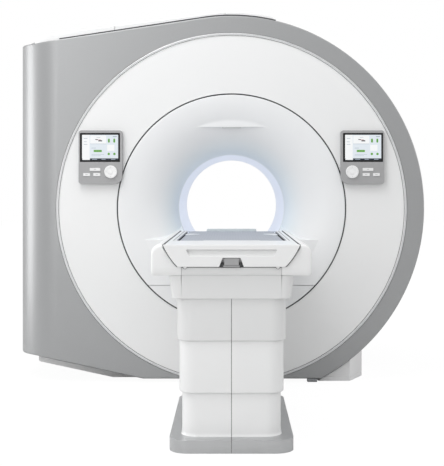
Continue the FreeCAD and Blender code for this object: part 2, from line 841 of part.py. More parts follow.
def makeFootCover():
    seamTop = s.foot_cover_seam + s.foot_cover_seam_height
    plinth = pad("foot_plinth", [footCoverPlan(asTerm(0))], s.foot_cover_seam, (0, 0, 0), "XY_Plane")
    neck = pad("foot_neck", [footCoverPlan(s.foot_cover_seam_depth)], s.foot_cover_seam_height,
               (0, 0, s.foot_cover_seam), "XY_Plane")
    shell = pad("foot_shell", [footCoverPlan(asTerm(0))], s.foot_cover_height - seamTop,
                (0, 0, seamTop), "XY_Plane")
    covers = cylinder("foot_cover_seat", s.fascia_radius + s.side_cover_proud, s.front_face + s.rear_face,
                      (0, -s.front_face, s.axis_height), "y")
    cut("foot_cover_right", joined("foot_stack", [plinth, neck, shell]), covers)
    block("levelling_foot", (s.levelling_left, fascia_front, asTerm(0)),
          (s.levelling_right, cover_front, s.axis_height - s.fascia_foot_drop))


# ---- dock between funnel and table ----

def makeBridge():
    half = leg(s.bore_radius, s.bridge_drop)
    top = -s.bridge_drop
    railTop = top + s.rail_height
    path = Outline(half, top).line(s.rail_outer, top).line(s.rail_outer, railTop)
    path.line(s.rail_inner, railTop).line(s.rail_inner, top)
    path.line(-s.rail_inner, top).line(-s.rail_inner, railTop)
    path.line(-s.rail_outer, railTop).line(-s.rail_outer, top).line(-half, top)
    path.bend(0, 0, s.bore_radius, 1)
    pad("bore_bridge", [path], s.front_face + s.bore_half, (0, -s.front_face, s.axis_height))


def makeFairings():
    front = s.fairing_recess - s.front_face
    infill = turned("dock_infill", trumpetPath().line(s.bore_radius, -s.front_face))
    frontRise = s.fairing_rise_at_throat - (trumpet_depth - s.fairing_recess) * s.fairing_slope
    wedge = Outline(front, -s.fairing_bottom_drop).line(-s.bore_half, -s.fairing_bottom_drop)
    wedge.line(-s.bore_half, s.fairing_rise_at_throat).line(front, frontRise)
    for side, start in (("left", -s.mouth_radius), ("right", asTerm(0))):
        prism = pad("dock_wedge_" + side, [wedge], s.mouth_radius, (start, 0, s.axis_height), "YZ_Plane")
        common("dock_fairing_" + side, infill, prism)


# ---- control panels ----

def panelOutline(sign):
    # the large corner is the lower one beside the bore
    small, large = s.panel_corner, s.panel_large_corner
    inner, outer, low, high = s.panel_inner, s.panel_outer, s.panel_bottom, s.panel_top
    path = Outline(sign * (inner + large), low).line(sign * (outer - small), low)
    path.arc(sign * outer, low + small, sign * (outer - small), low + small, small, sign)
    path.line(sign * outer, high - small)
    path.arc(sign * (outer - small), high, sign * (outer - small), high - small, small, sign)
    path.line(sign * (inner + small), high)
    path.arc(sign * inner, high - small, sign * (inner + small), high - small, small, sign)
    path.line(sign * inner, low + large)
    return path.bend(sign * (inner + large), low + large, large, sign)


def mirroredBlock(label, sign, xs, ys, zs):
    inner, outer = xs
    low, high = (inner, outer) if sign == 1 else (-outer, -inner)
    return block(label, (low, ys[0], zs[0]), (high, ys[1], zs[1]))


panel_face = -s.front_face - s.panel_thickness
key_places = {
    "top_key": (s.top_key_inner, s.top_key_outer, s.top_key_bottom),
    "inner_key": (s.inner_key_inner, s.inner_key_outer, s.low_key_bottom),
    "outer_key": (s.outer_key_inner, s.outer_key_outer, s.low_key_bottom),
}


def makeDial(side, sign):
    rim = s.dial_thickness
    back = panel_face - s.dial_gap
    at = (sign * s.dial_x, back - rim, s.dial_height)
    knob = cylinder(side + "_dial_knob", s.dial_radius, rim, at, "y")
    half = s.spindle_width / 2
    spindle = block(side + "_dial_spindle", (at[0] - half, back, at[2] - half),
                    (at[0] + half, panel_face + s.spindle_length, at[2] + half))
    joined(side + "_dial", [knob, spindle])


def makePanel(side, sign):
    housing = pad(side + "_panel_shell", [panelOutline(sign)], s.panel_thickness, (0, panel_face, 0))
    screenXs = (s.screen_inner, s.screen_outer)
    screenZs = (s.screen_bottom, s.screen_top)
    floor = panel_face + s.screen_recess
    pocket = mirroredBlock(side + "_screen_pocket", sign, screenXs, (panel_face, floor), screenZs)
    mirroredBlock(side + "_panel_screen", sign, screenXs, (panel_face + s.screen_inset, floor), screenZs)
    deep = panel_face + s.key_depth + s.key_travel + s.key_gap
    tools = [pocket]
    for name, (inner, outer, low) in key_places.items():
        high = low + s.key_height
        well = ((inner - s.key_gap, outer + s.key_gap), (panel_face, deep), (low - s.key_gap, high + s.key_gap))
        tools.append(mirroredBlock("%s_%s_well" % (side, name), sign, *well))
        depth = (panel_face - s.key_proud, panel_face + s.key_depth)
        mirroredBlock("%s_%s" % (side, name), sign, (inner, outer), depth, (low, high))
    half = s.spindle_hole_width / 2
    x, z = sign * s.dial_x, s.dial_height
    tools.append(block(side + "_spindle_hole", (x - half, panel_face, z - half),
                       (x + half, panel_face + s.spindle_length + s.dial_gap, z + half)))
    cut(side + "_panel_housing", housing, joined(side + "_panel_wells", tools))
    makeDial(side, sign)


# ---- table foot, shrouds and lift ----

def halfShellPlan(sign, half, front, back, corner, wall, frontStart, backStart):
    # One side of a rounded box in plan, as a thin wall open towards the middle.
    side = sign * half
    inside = sign * (half - wall)
    turnX = sign * (half - corner)
    inner = corner - wall
    path = Outline(sign * frontStart, -front).line(turnX, -front)
    path.arc(side, corner - front, turnX, corner - front, corner, sign)
    path.line(side, -back - corner)
    path.arc(turnX, -back, turnX, -back - corner, corner, sign)
    path.line(sign * backStart, -back).line(sign * backStart, -back - wall).line(turnX, -back - wall)
    path.arc(inside, -back - corner, turnX, -back - corner, inner, -sign)
    path.line(inside, corner - front)
    path.arc(turnX, wall - front, turnX, corner - front, inner, -sign)
    return path.line(sign * frontStart, wall - front)


def makeShroud(name, half, front, back, low, high):
    middle = s.shroud_gap / 2
    for side, sign in (("left", -1), ("right", 1)):
        plan = halfShellPlan(sign, half, front, back, s.shroud_corner, s.shroud_wall, middle, middle)
        pad("%s_shroud_%s" % (name, side), [plan], high - low, (0, 0, low), "XY_Plane")


def tubePlans(shrink):
    # outer and inner outline of a lift column tube
    halfX = s.column_half_width - shrink
    halfY = s.column_half_length - shrink
    wall = s.column_wall
    centre = s.column_centre
    return [rectangle(-halfX, -centre - halfY, halfX, halfY - centre),
            rectangle(wall - halfX, wall - centre - halfY, halfX - wall, halfY - wall - centre)]


def makeLift():
    step = s.column_wall + s.column_gap
    base = roundedRectangle(-s.base_half_width, -s.table_front, s.base_half_width, -s.base_back, s.base_corner)
    pad("table_base", [base], s.base_height, (0, 0, 0), "XY_Plane")
    pad("lift_column_outer", tubePlans(asTerm(0)), s.column_outer_top - s.base_height,
        (0, 0, s.base_height), "XY_Plane")
    flangeLow = s.middle_shroud_top - s.flange_thickness
    tube = pad("middle_tube", tubePlans(step), s.middle_shroud_top - s.column_middle_bottom,
               (0, 0, s.column_middle_bottom), "XY_Plane")
    inset = s.shroud_wall
    half = s.middle_shroud_half - inset
    outer = roundedRectangle(-half, inset - s.middle_shroud_front, half, -s.middle_shroud_back - inset,
                             s.shroud_corner - inset)
    flange = pad("middle_flange", [outer, tubePlans(step)[1]], s.flange_thickness,
                 (0, 0, flangeLow), "XY_Plane")
    joined("lift_column_middle", [tube, flange])
    pad("lift_column_inner", tubePlans(2 * step), s.wing_bottom - s.column_inner_bottom,
        (0, 0, s.column_inner_bottom), "XY_Plane")


def makeSupport():
    height = s.wing_bottom - s.support_bottom
    for side, sign in (("left", -1), ("right", 1)):
        plan = halfShellPlan(sign, s.support_half, s.support_front, s.support_back, s.support_corner,
                             s.support_wall, s.front_panel_half, s.shroud_gap / 2)
        pad("support_side_" + side, [plan], height, (0, 0, s.support_bottom), "XY_Plane")
    half = s.front_panel_half - s.shroud_gap
    inside = s.support_wall - s.support_front
    lower = block("front_panel_lower", (-half, -s.support_front, s.support_bottom), (half, inside, s.wing_bottom))
    chin = block("front_panel_chin", (-half, -s.wing_front, s.wing_bottom), (half, inside, s.trough_floor))
    joined("support_front_panel", [lower, chin])


def wingOutline(sign):
    low, high = s.wing_bottom, s.wing_top
    lowRound, highRound = s.wing_lower_round, s.wing_upper_round
    side = s.wing_half_width
    lipX = leg(s.trough_radius, s.axis_height - high)
    floorX = leg(s.trough_radius, s.axis_height - s.trough_floor)
    path = Outline(sign * s.front_panel_half, low).line(sign * (side - lowRound), low)
    path.arc(sign * side, low + lowRound, sign * (side - lowRound), low + lowRound, lowRound, sign)
    path.line(sign * side, high - highRound)
    path.arc(sign * (side - highRound), high, sign * (side - highRound), high - highRound, highRound, sign)
    path.line(sign * lipX, high)
    path.arc(sign * floorX, s.trough_floor, 0, s.axis_height, s.trough_radius, -sign)
    return path.line(sign * s.front_panel_half, s.trough_floor)


def makeTable():
    for side, sign in (("left", -1), ("right", 1)):
        pad("table_wing_" + side, [wingOutline(sign)], s.wing_front - s.wing_back, (0, -s.wing_front, 0))
    half = s.front_panel_half
    top, railTop = s.frame_top, s.frame_top + s.rail_height
    inside = s.support_wall - s.support_front
    section = Outline(-half, s.wing_bottom).line(half, s.wing_bottom).line(half, top)
    section.line(s.rail_outer, top).line(s.rail_outer, railTop).line(s.rail_inner, railTop)
    section.line(s.rail_inner, top).line(-s.rail_inner, top).line(-s.rail_inner, railTop)
    section.line(-s.rail_outer, railTop).line(-s.rail_outer, top).line(-half, top)
    pad("table_frame", [section], -s.wing_back - inside, (0, inside, 0))
    block("drive_motor", (-s.motor_width / 2, -s.motor_front, s.wing_bottom - s.motor_height),
          (s.motor_width / 2, s.motor_length - s.motor_front, s.wing_bottom))
    block("drive_belt", (-s.belt_width / 2, inside + s.belt_inset, top),
          (s.belt_width / 2, -s.wing_back - s.belt_inset, top + s.belt_thickness))


# ---- sliding tabletop ----

def cradleOutline():
    low = s.cradle_bottom
    bottomX = leg(s.cradle_radius, s.axis_height - low)
    topX = leg(s.cradle_radius, s.axis_height - s.cradle_top)
    path = Outline(-bottomX, low).line(bottomX, low)
    path.arc(topX, s.cradle_top, 0, s.axis_height, s.cradle_radius, 1).line(-topX, s.cradle_top)
    return path.bend(0, s.axis_height, s.cradle_radius, 1)


def capOutline():
    low = s.cradle_bottom
    bottomX = leg(s.cap_radius, s.axis_height - low)
    topX = leg(s.cap_radius, s.axis_height - s.cap_top)
    path = Outline(-bottomX, low).line(bottomX, low)
    path.arc(topX, s.cap_top, 0, s.axis_height, s.cap_radius, 1).line(-topX, s.cap_top)
    return path.bend(0, s.axis_height, s.cap_radius, 1)


def makeCradle():
    capBack = s.cap_depth - s.table_front
    solid = pad("cradle_solid", [cradleOutline()], -s.cradle_back - capBack, (0, capBack, 0))
    pocket = block("cradle_pocket", (-s.pocket_half, -s.pad_front - s.pad_front_gap, s.pocket_floor),
                   (s.pocket_half, -s.cradle_back, s.cradle_top))
    cut("cradle", solid, pocket)
    cap = pad("cap_shell", [capOutline()], s.cap_depth, (0, -s.table_front, 0))
    grip = Outline(-s.grip_bottom_half, s.grip_bottom).line(s.grip_bottom_half, s.grip_bottom)
    grip.line(s.grip_top_half, s.grip_top).line(-s.grip_top_half, s.grip_top)
    gripTool = pad("grip_recess", [grip], s.grip_depth, (0, -s.table_front, 0))
    latch = block("latch_recess", (-s.latch_half, -s.table_front, s.cradle_bottom),
                  (s.latch_half, s.latch_depth - s.table_front, s.latch_top))
    cut("cradle_end_cap", cap, joined("cap_recesses", [gripTool, latch]))


def makeMattress():
    low, high, edge = s.pocket_floor, s.pad_top, s.pad_edge
    section = Outline(-s.pad_half, low).line(s.pad_half, low).line(s.pad_half, high - edge)
    section.arc(s.pad_half - edge, high, s.pad_half - edge, high - edge, edge, 1)
    section.line(edge - s.pad_half, high)
    section.arc(-s.pad_half, high - edge, edge - s.pad_half, high - edge, edge, 1)
    pad("mattress", [section], s.pad_front - s.pad_back, (0, -s.pad_front, 0))
    block("socket_housing", (-s.socket_half, -s.socket_back - s.socket_length, low),
          (s.socket_half, -s.socket_back, low + s.socket_height))


def makeHandle():
    front = s.handle_front_gap - s.table_front
    back = front + s.handle_thickness
    plate = block("handle_plate", (-s.handle_half, front, s.handle_bottom), (s.handle_half, back, s.handle_top))
    pinHalf = s.latch_half - s.pin_end_gap
    at = (-pinHalf, back - s.pin_radius, s.handle_top - s.pin_drop)
    pin = cylinder("handle_pin", s.pin_radius, 2 * pinHalf, at, "x")
    joined("release_handle", [plate, pin])


makeFunnel()
makeBoreTubes()
makeColdHead()
makeMagnetFeet()
makeFrontCovers()
makeTopCovers()
makeSideCovers()
makeRearCover()
makeSkirt()
makeFootCover()
makeBridge()
makeFairings()
makePanel("left", -1)
makePanel("right", 1)
makeShroud("lower", s.lower_shroud_half, s.lower_shroud_front, s.lower_shroud_back,
           s.base_height, s.lower_shroud_top)
makeShroud("middle", s.middle_shroud_half, s.middle_shroud_front, s.middle_shroud_back,
           s.middle_shroud_bottom, s.middle_shroud_top)
makeShroud("upper", s.upper_shroud_half, s.upper_shroud_front, s.upper_shroud_back,
           s.upper_shroud_bottom, s.support_bottom)
makeLift()
makeSupport()
makeTable()
makeCradle()
makeMattress()
makeHandle()

sides = ("left", "right")
nodes = ["front_fascia", "front_cover_ring", "funnel_upper", "funnel_lower_panel", "laser_window",
         "body_coil_tube", "gradient_coil", "magnet_vessel", "cold_head", "magnet_feet", "rear_cover",
         "bore_bridge", "bottom_skirt_left", "foot_cover_right", "levelling_foot", "top_cover_middle",
         "table_base", "lift_column_outer", "lift_column_middle", "lift_column_inner",
         "support_front_panel", "table_frame", "drive_motor", "drive_belt", "cradle",
         "cradle_end_cap", "mattress", "socket_housing",
         "release_handle"]
nodes += [name + side for side in sides
          for name in ("top_cover_", "side_cover_", "dock_fairing_", "lower_shroud_", "middle_shroud_",
                       "upper_shroud_", "support_side_", "table_wing_")]
nodes += [side + name for side in sides
          for name in ("_panel_housing", "_panel_screen", "_dial", "_top_key", "_inner_key", "_outer_key")]


def checkDocument():
    doc.recompute()
    failed = [item.Label for item in doc.Objects if "Invalid" in item.State or "Error" in item.State]
    if failed:
        raise RuntimeError("failed objects: " + ", ".join(failed))


def exportNodes():
    os.makedirs("parts", exist_ok=True)
    for name in nodes:
        item = doc.getObject(name)
        item.Label = name
        if item.Shape.isNull() or not item.Shape.isValid() or item.Shape.Volume <= 0:
            raise RuntimeError("bad shape: " + name)
    for name in nodes:
        doc.getObject(name).Shape.exportStep("parts/%s.step" % name)
    print("nodes written:", len(nodes))


checkDocument()
exportNodes()
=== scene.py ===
import json
import math

import bmesh
import bpy
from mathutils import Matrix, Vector

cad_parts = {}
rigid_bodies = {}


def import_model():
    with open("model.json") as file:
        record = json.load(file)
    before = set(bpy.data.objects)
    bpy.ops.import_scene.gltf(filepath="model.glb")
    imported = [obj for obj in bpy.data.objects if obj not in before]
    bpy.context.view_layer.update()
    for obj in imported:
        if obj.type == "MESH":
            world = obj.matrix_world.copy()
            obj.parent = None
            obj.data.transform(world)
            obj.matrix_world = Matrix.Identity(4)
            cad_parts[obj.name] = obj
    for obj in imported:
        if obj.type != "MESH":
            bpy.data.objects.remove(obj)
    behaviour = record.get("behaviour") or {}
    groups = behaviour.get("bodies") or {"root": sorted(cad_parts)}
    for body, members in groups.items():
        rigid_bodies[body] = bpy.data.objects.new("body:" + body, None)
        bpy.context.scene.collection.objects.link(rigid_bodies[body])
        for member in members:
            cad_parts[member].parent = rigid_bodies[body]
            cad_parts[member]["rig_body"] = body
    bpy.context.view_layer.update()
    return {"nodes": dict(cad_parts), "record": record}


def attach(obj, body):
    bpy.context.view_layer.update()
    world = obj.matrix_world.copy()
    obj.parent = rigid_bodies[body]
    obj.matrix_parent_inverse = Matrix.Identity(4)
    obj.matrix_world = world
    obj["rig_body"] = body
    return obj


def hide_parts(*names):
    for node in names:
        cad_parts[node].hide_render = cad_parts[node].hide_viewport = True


# A wide-bore MRI scanner with its patient table, dressed around its CAD frame.
# X is to the viewer's right, Y goes into the bore, Z is up. Sizes below are in millimetres.

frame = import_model()
slotOf = {row["node"]: row["material_slot"] for row in frame["record"]["subparts"]}
mm = 0.001
axisHeight = 1115
sides = (("left", -1), ("right", 1))
# faces that meet at more than this are shaded apart, or get a rounded edge, in degrees
sharpFrom, roundFrom = 34, 32


def linear(hexColour):
    # sRGB hex to the linear values that the shaders take
    parts = [int(hexColour[i:i + 2], 16) / 255 for i in (0, 2, 4)]
    return [c / 12.92 if c <= 0.04045 else ((c + 0.055) / 1.055) ** 2.4 for c in parts] + [1]


def addNode(tree, kind, settings=None, links=None):
    node = tree.nodes.new("ShaderNode" + kind)
    for name, value in (settings or {}).items():
        if isinstance(name, int) or name in node.inputs:
            node.inputs[name].default_value = value
        else:
            setattr(node, name, value)
    for name, source in (links or {}).items():
        tree.links.new(source, node.inputs[name])
    return node


def blankMaterial(name):
    material = bpy.data.materials.new(name)
    material.use_nodes = True
    material.node_tree.nodes.clear()
    return material, material.node_tree


def surface(name, look, mixedBy=None, raisedBy=None):
    # a skin of two close tones under a fine relief, which also varies its gloss. A look has its tones and the size
    # of their clouds, the grain's size, strength and depth, and the range of the roughness. mixedBy and raisedBy
    # are functions that give another mix of the tones or another relief.
    material, tree = blankMaterial(name)
    place = addNode(tree, "TexCoord").outputs["Object"]
    colour, tone, cloudSize = look["tones"]
    grainSize, strength, depth = look["grain"]
    if mixedBy:
        share = mixedBy(tree, place)
    else:
        share = addNode(tree, "TexNoise", {"Scale": 1 / (cloudSize * mm), "Detail": 3},
                        {"Vector": place}).outputs["Fac"]
    mixed = addNode(tree, "Mix", {"data_type": "RGBA", 6: linear(colour), 7: linear(tone)}, {0: share})
    if raisedBy:
        height = raisedBy(tree, place, grainSize)
    else:
        stretched = addNode(tree, "Mapping", {"Scale": look.get("stretch", (1, 1, 1))}, {"Vector": place})
        height = addNode(tree, "TexNoise", {"Scale": 1 / (grainSize * mm), "Detail": 2},
                         {"Vector": stretched.outputs["Vector"]}).outputs["Fac"]
    bump = addNode(tree, "Bump", {"Strength": strength, "Distance": depth * mm}, {"Height": height})
    low, high = look["roughness"]
    rough = addNode(tree, "MapRange", {"To Min": low, "To Max": high}, {"Value": height})
    shader = addNode(tree, "BsdfPrincipled", look["shader"],
                     {"Base Color": mixed.outputs[2], "Roughness": rough.outputs["Result"],
                      "Normal": bump.outputs["Normal"]})
    addNode(tree, "OutputMaterial", None, {"Surface": shader.outputs["BSDF"]})
    return material


print("materials")

paintCoat = {"IOR": 1.5, "Coat Weight": 0.25, "Coat Roughness": 0.12}
# polyurethane paint, sprayed on moulded covers: even white, a soft clear gloss and faint orange peel
whitePaintSprayed = surface("whitePolyurethanePaintSprayed", {
    "tones": ("F1F1F1", "EEEFEF", 420), "grain": (7, 0.06, 0.3), "roughness": (0.3, 0.36), "shader": paintCoat})
# the same paint in a slightly deeper white, which is painted shade under the table top's overhang: the table's housing
# over its shrouds
housingPaintWithPaintedShade = surface("housingPolyurethanePaintPaintedShade", {
    "tones": ("E6E6E6", "E3E4E4", 420), "grain": (7, 0.06, 0.3), "roughness": (0.3, 0.36), "shader": paintCoat})
# the same paint on the flared entrance, without clouds: towards the throat it turns a cooler blue-grey, from the
# start radius to the end radius, in metres. This cool tone is painted light: a painted reflection of the bore's
# bluish light, and painted shade where the flare turns inward.
throat = {"tones": ("EFF0F1", "E6EDF0", None), "start": 0.5, "end": 0.345, "grain": (7, 0.05, 0.3),
          "roughness": (0.36, 0.42), "shader": {"IOR": 1.5, "Coat Weight": 0.15, "Coat Roughness": 0.2}}


# how much of the painted bore light and shade a point takes, by its distance from the bore axis
def paintedBoreLightShare(tree, place):
    fromAxis = addNode(tree, "VectorMath", {"operation": "SUBTRACT", 1: (0, 0, axisHeight * mm)}, {0: place})
    flat = addNode(tree, "VectorMath", {"operation": "MULTIPLY", 1: (1, 0, 1)}, {0: fromAxis.outputs["Vector"]})
    radius = addNode(tree, "VectorMath", {"operation": "LENGTH"}, {0: flat.outputs["Vector"]})
    share = addNode(tree, "MapRange", {"From Min": throat["start"], "From Max": throat["end"],
                                       "interpolation_type": "SMOOTHSTEP"}, {"Value": radius.outputs["Value"]})
    return share.outputs["Result"]


funnelPaintAndBoreLight = surface("funnelPaintWithPaintedBoreLight", throat, paintedBoreLightShare)
# aluminium flake paint, sprayed: silver grey with a fine glitter and a satin clear coat
flakePaintSprayed = surface("aluminiumFlakePaintSprayed", {
    "tones": ("A3A4A5", "ABACAD", 5), "grain": (4, 0.1, 0.2), "roughness": (0.34, 0.44),
    "shader": {"Metallic": 0.45, "IOR": 1.5, "Coat Weight": 0.2, "Coat Roughness": 0.2}})
# anodised aluminium, bead blasted: the pale trim and the rails
trimAnodised = surface("aluminiumAnodisedBlasted", {
    "tones": ("D2D3D4", "CBCCCD", 40), "grain": (3, 0.15, 0.1), "roughness": (0.3, 0.4), "shader": {"Metallic": 0.8}})
# aluminium, anodised and lacquered in pale silver: the trim ring
trimLacquered = surface("aluminiumLacquered", {
    "tones": ("EDEEEF", "E7E8E9", 40), "grain": (3, 0.08, 0.1), "roughness": (0.28, 0.36),
    "shader": {"Metallic": 0.3}})
# aluminium plate, brushed along its length and anodised: bright and dark bands by its corners
plateBrushed = surface("aluminiumPlateBrushed", {
    "tones": ("CBCCCD", "C5C6C7", 60), "grain": (3, 0.04, 0.05), "stretch": (0.03, 1, 1), "roughness": (0.3, 0.38),
    "shader": {"Metallic": 1.0}})
# polycarbonate, moulded in grey with a fine spark texture: control panels and latch
greyMoulded = surface("greyPolycarbonateMoulded", {
    "tones": ("A2A2A3", "A8A8A9", 30), "grain": (2.5, 0.25, 0.15), "roughness": (0.42, 0.55), "shader": {"IOR": 1.58}})
# the same moulding in a deeper grey: on the parts set back in the latch it is painted shade, on the socket covers
# their own grey
deepGreyMouldedAndShade = surface("deepGreyPolycarbonateAndPaintedShade", {
    "tones": ("8A8A8B", "848485", 20), "grain": (2.5, 0.25, 0.15), "roughness": (0.45, 0.58),
    "shader": {"IOR": 1.58}})
# ABS, moulded and polished: keys and dials
whiteMoulded = surface("whiteAbsMoulded", {
    "tones": ("F3F3F3", "EEEEEE", 20), "grain": (3, 0.05, 0.1), "roughness": (0.28, 0.35), "shader": {"IOR": 1.54}})
# ABS, moulded in blue-grey with a fine spark texture: the socket housing
blueGreyMoulded = surface("blueGreyAbsMoulded", {
    "tones": ("D9E2E4", "D4DDDF", 30), "grain": (2.5, 0.2, 0.15), "roughness": (0.4, 0.5), "shader": {"IOR": 1.54}})
# ABS sheet, vacuum formed with a light texture: skirts near the floor
skirtFormed = surface("paleAbsSheetFormed", {
    "tones": ("F4F4F4", "F1F1F2", 160), "grain": (4, 0.15, 0.2), "roughness": (0.42, 0.52), "shader": {"IOR": 1.54}})
# EPDM rubber, extruded: dark and dull. The drive belt and the latch's clips are of it; the strips and rings in the
# gaps are painted shade that darkens the gaps' lines
darkRubberAndShadeStrips = surface("epdmRubberExtrudedAndShadeStrips", {
    "tones": ("4A4B4D", "424345", 30), "grain": (2, 0.3, 0.1), "roughness": (0.6, 0.7), "shader": {"IOR": 1.52}})
# glass-fibre laminate, gel coated in pale lavender, with a faint painted glow that stands in for the light of the
# bore's own lamps: the bore's lining
boreGelCoatedPaintedGlow = surface("glassFibreGelCoatedPaintedGlow", {
    "tones": ("DCE2EC", "D6DCE8", 200), "grain": (6, 0.06, 0.2), "roughness": (0.3, 0.38),
    "shader": {"IOR": 1.5, "Coat Weight": 0.2, "Emission Color": linear("DCE4F4"), "Emission Strength": 0.3}})
# glass-fibre laminate, gel coated in white: the sliding tabletop
tabletopGelCoated = surface("whiteGlassFibreGelCoated", {
    "tones": ("EDEFF0", "E8EAEC", 200), "grain": (6, 0.05, 0.2), "roughness": (0.3, 0.38),
    "shader": {"IOR": 1.5, "Coat Weight": 0.2}})
# steel, welded and powder coated: vessel, feet and lift
steelPowderCoated = surface("steelPowderCoated", {
    "tones": ("8F9194", "96989B", 60), "grain": (3, 0.3, 0.2), "roughness": (0.5, 0.6), "shader": {"IOR": 1.5}})
# epoxy resin, cast and ground: the coil
coilResinCast = surface("epoxyResinCast", {
    "tones": ("B8A878", "AC9C6E", 50), "grain": (4, 0.3, 0.3), "roughness": (0.45, 0.6), "shader": {"IOR": 1.55}})
# acrylic, cast and tinted: the laser window and the black glass of the screens
acrylicTinted = surface("acrylicTintedCast", {
    "tones": ("0B0C0E", "0F1012", 60), "grain": (20, 0.02, 0.05), "roughness": (0.06, 0.1), "shader": {"IOR": 1.49}})

# polyurethane-coated polyester, welded round foam: a fine cloth grain under a matt blue-grey skin. The real thread
# is 0.4 mm: it is drawn at 2.4 mm so that it shows.
cloth = {"grain": (2.4, 0.25, 0.2), "distortion": 0.3, "roughness": (0.5, 0.62),
         "shader": {"IOR": 1.5, "Sheen Weight": 0.08, "Sheen Roughness": 0.5}}


def wovenHeight(tree, place, thread):
    # warp and weft: two sets of waves, 20 to a unit of the node's scale
    waves = [addNode(tree, "TexWave", {"Scale": 1 / (thread * mm) / 20, "bands_direction": axis,
                                       "Distortion": cloth["distortion"]}, {"Vector": place}) for axis in ("X", "Y")]
    weave = addNode(tree, "Math", {"operation": "MAXIMUM"}, {i: wave.outputs["Fac"] for i, wave in enumerate(waves)})
    return weave.outputs["Value"]


vinylWelded, seamWelded, strapWoven = [
    surface(name, {**cloth, "tones": (colour, tone, 120)}, None, wovenHeight) for name, colour, tone in (
        ("polyurethaneCoatedPolyesterWelded", "A0A6B0", "9AA0AB"),
        ("coatedPolyesterPipingWelded", "8F96A3", "9AA0AB"),
        ("palePolyamideStrapWoven", "E4E8EC", "DADFE4"))]


def addObject(name, data):
    item = bpy.data.objects.new(name, data)
    bpy.context.scene.collection.objects.link(item)
    return item


def smoothed(mesh):
    mesh.polygons.foreach_set("use_smooth", [True] * len(mesh.polygons))
    return mesh


def sharpened(mesh):
    smoothed(mesh).set_sharp_from_angle(angle=math.radians(sharpFrom))
    return mesh


def meshOf(name, shape):
    bmesh.ops.recalc_face_normals(shape, faces=shape.faces)
    mesh = bpy.data.meshes.new(name)
    shape.to_mesh(mesh)
    shape.free()
    return mesh


def makePiece(name, shape, body, material, slot=None, nodes=()):
    # shape is a bmesh, or a mesh that is already finished
    mesh = shape if isinstance(shape, bpy.types.Mesh) else sharpened(meshOf(name, shape))
    piece = addObject(name, mesh)
    for item in material if isinstance(material, list) else [material]:
        mesh.materials.append(item)
    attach(piece, body)
    if nodes:
        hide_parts(*nodes)
    return piece


def roundEdges(piece, width, steps=2, weighted=False, clamp=True):
    bevel = piece.modifiers.new("edges", "BEVEL")
    bevel.width = width * mm
    bevel.segments = steps
    bevel.limit_method = "WEIGHT" if weighted else "ANGLE"
    bevel.angle_limit = math.radians(roundFrom)
    bevel.use_clamp_overlap = clamp
    bevel.miter_outer = "MITER_ARC"
    piece.modifiers.new("shading", "WEIGHTED_NORMAL").keep_sharp = True
    return piece


def weighEdges(shape, weigh):
    # the share of the edge width that each sharp edge takes, by where it lies
    bmesh.ops.recalc_face_normals(shape, faces=shape.faces)
    layer = shape.edges.layers.float.new("bevel_weight_edge")
    for item in shape.edges:
        if len(item.link_faces) == 2 and item.calc_face_angle(0) > math.radians(roundFrom):
            item[layer] = weigh((item.verts[0].co + item.verts[1].co) / 2 / mm)


def softened(node, material, edge, steps=2, weigh=None, clamp=True):
    # the node's own shape with its flat faces joined and its edges rounded
    shape = bmesh.new()
    shape.from_mesh(frame["nodes"][node].data)
    bmesh.ops.remove_doubles(shape, verts=shape.verts, dist=0.02 * mm)
    bmesh.ops.dissolve_limit(shape, angle_limit=math.radians(0.6), verts=shape.verts, edges=shape.edges)
    if weigh:
        weighEdges(shape, weigh)
    piece = makePiece(node + "_cover", smoothed(meshOf(node, shape)), frame["nodes"][node]["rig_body"], material,
                      slotOf[node], (node,))
    return roundEdges(piece, edge, steps, weigh is not None, clamp)


def evaluatedMesh(piece):
    return bpy.data.meshes.new_from_object(piece.evaluated_get(bpy.context.evaluated_depsgraph_get()))


def carve(piece, tools):
    # takes the closed tool shapes out of the piece, after its edges have been rounded
    cutter = addObject("tools", meshOf("tools", tools))
    piece.modifiers.remove(piece.modifiers["shading"])
    boolean = piece.modifiers.new("carving", "BOOLEAN")
    boolean.operation, boolean.solver, boolean.object = "DIFFERENCE", "EXACT", cutter
    carved = evaluatedMesh(piece)
    piece.modifiers.clear()
    piece.data = sharpened(carved)
    bpy.data.objects.remove(cutter)
    piece.modifiers.new("shading", "WEIGHTED_NORMAL").keep_sharp = True


print("camera and light")
bpy.context.scene.view_settings.view_transform = "Standard"

view = {"distance": 7.4, "height": 1.225, "focalPixels": 1016.5, "centreX": 231.5, "centreY": 191.0,
        "frameWide": 444, "frameHigh": 466, "sensor": 36}
lens = bpy.data.cameras.new("photoCamera")
lens.sensor_width = view["sensor"]
lens.lens = view["sensor"] * view["focalPixels"] / view["frameHigh"]
lens.shift_x = (view["frameWide"] / 2 - view["centreX"]) / view["frameHigh"]
lens.shift_y = (view["centreY"] - view["frameHigh"] / 2) / view["frameHigh"]
camera = addObject("photoCamera", lens)
camera.location = (0, -view["distance"], view["height"])
camera.rotation_euler = (math.pi / 2, 0, 0)
bpy.context.scene.camera = camera

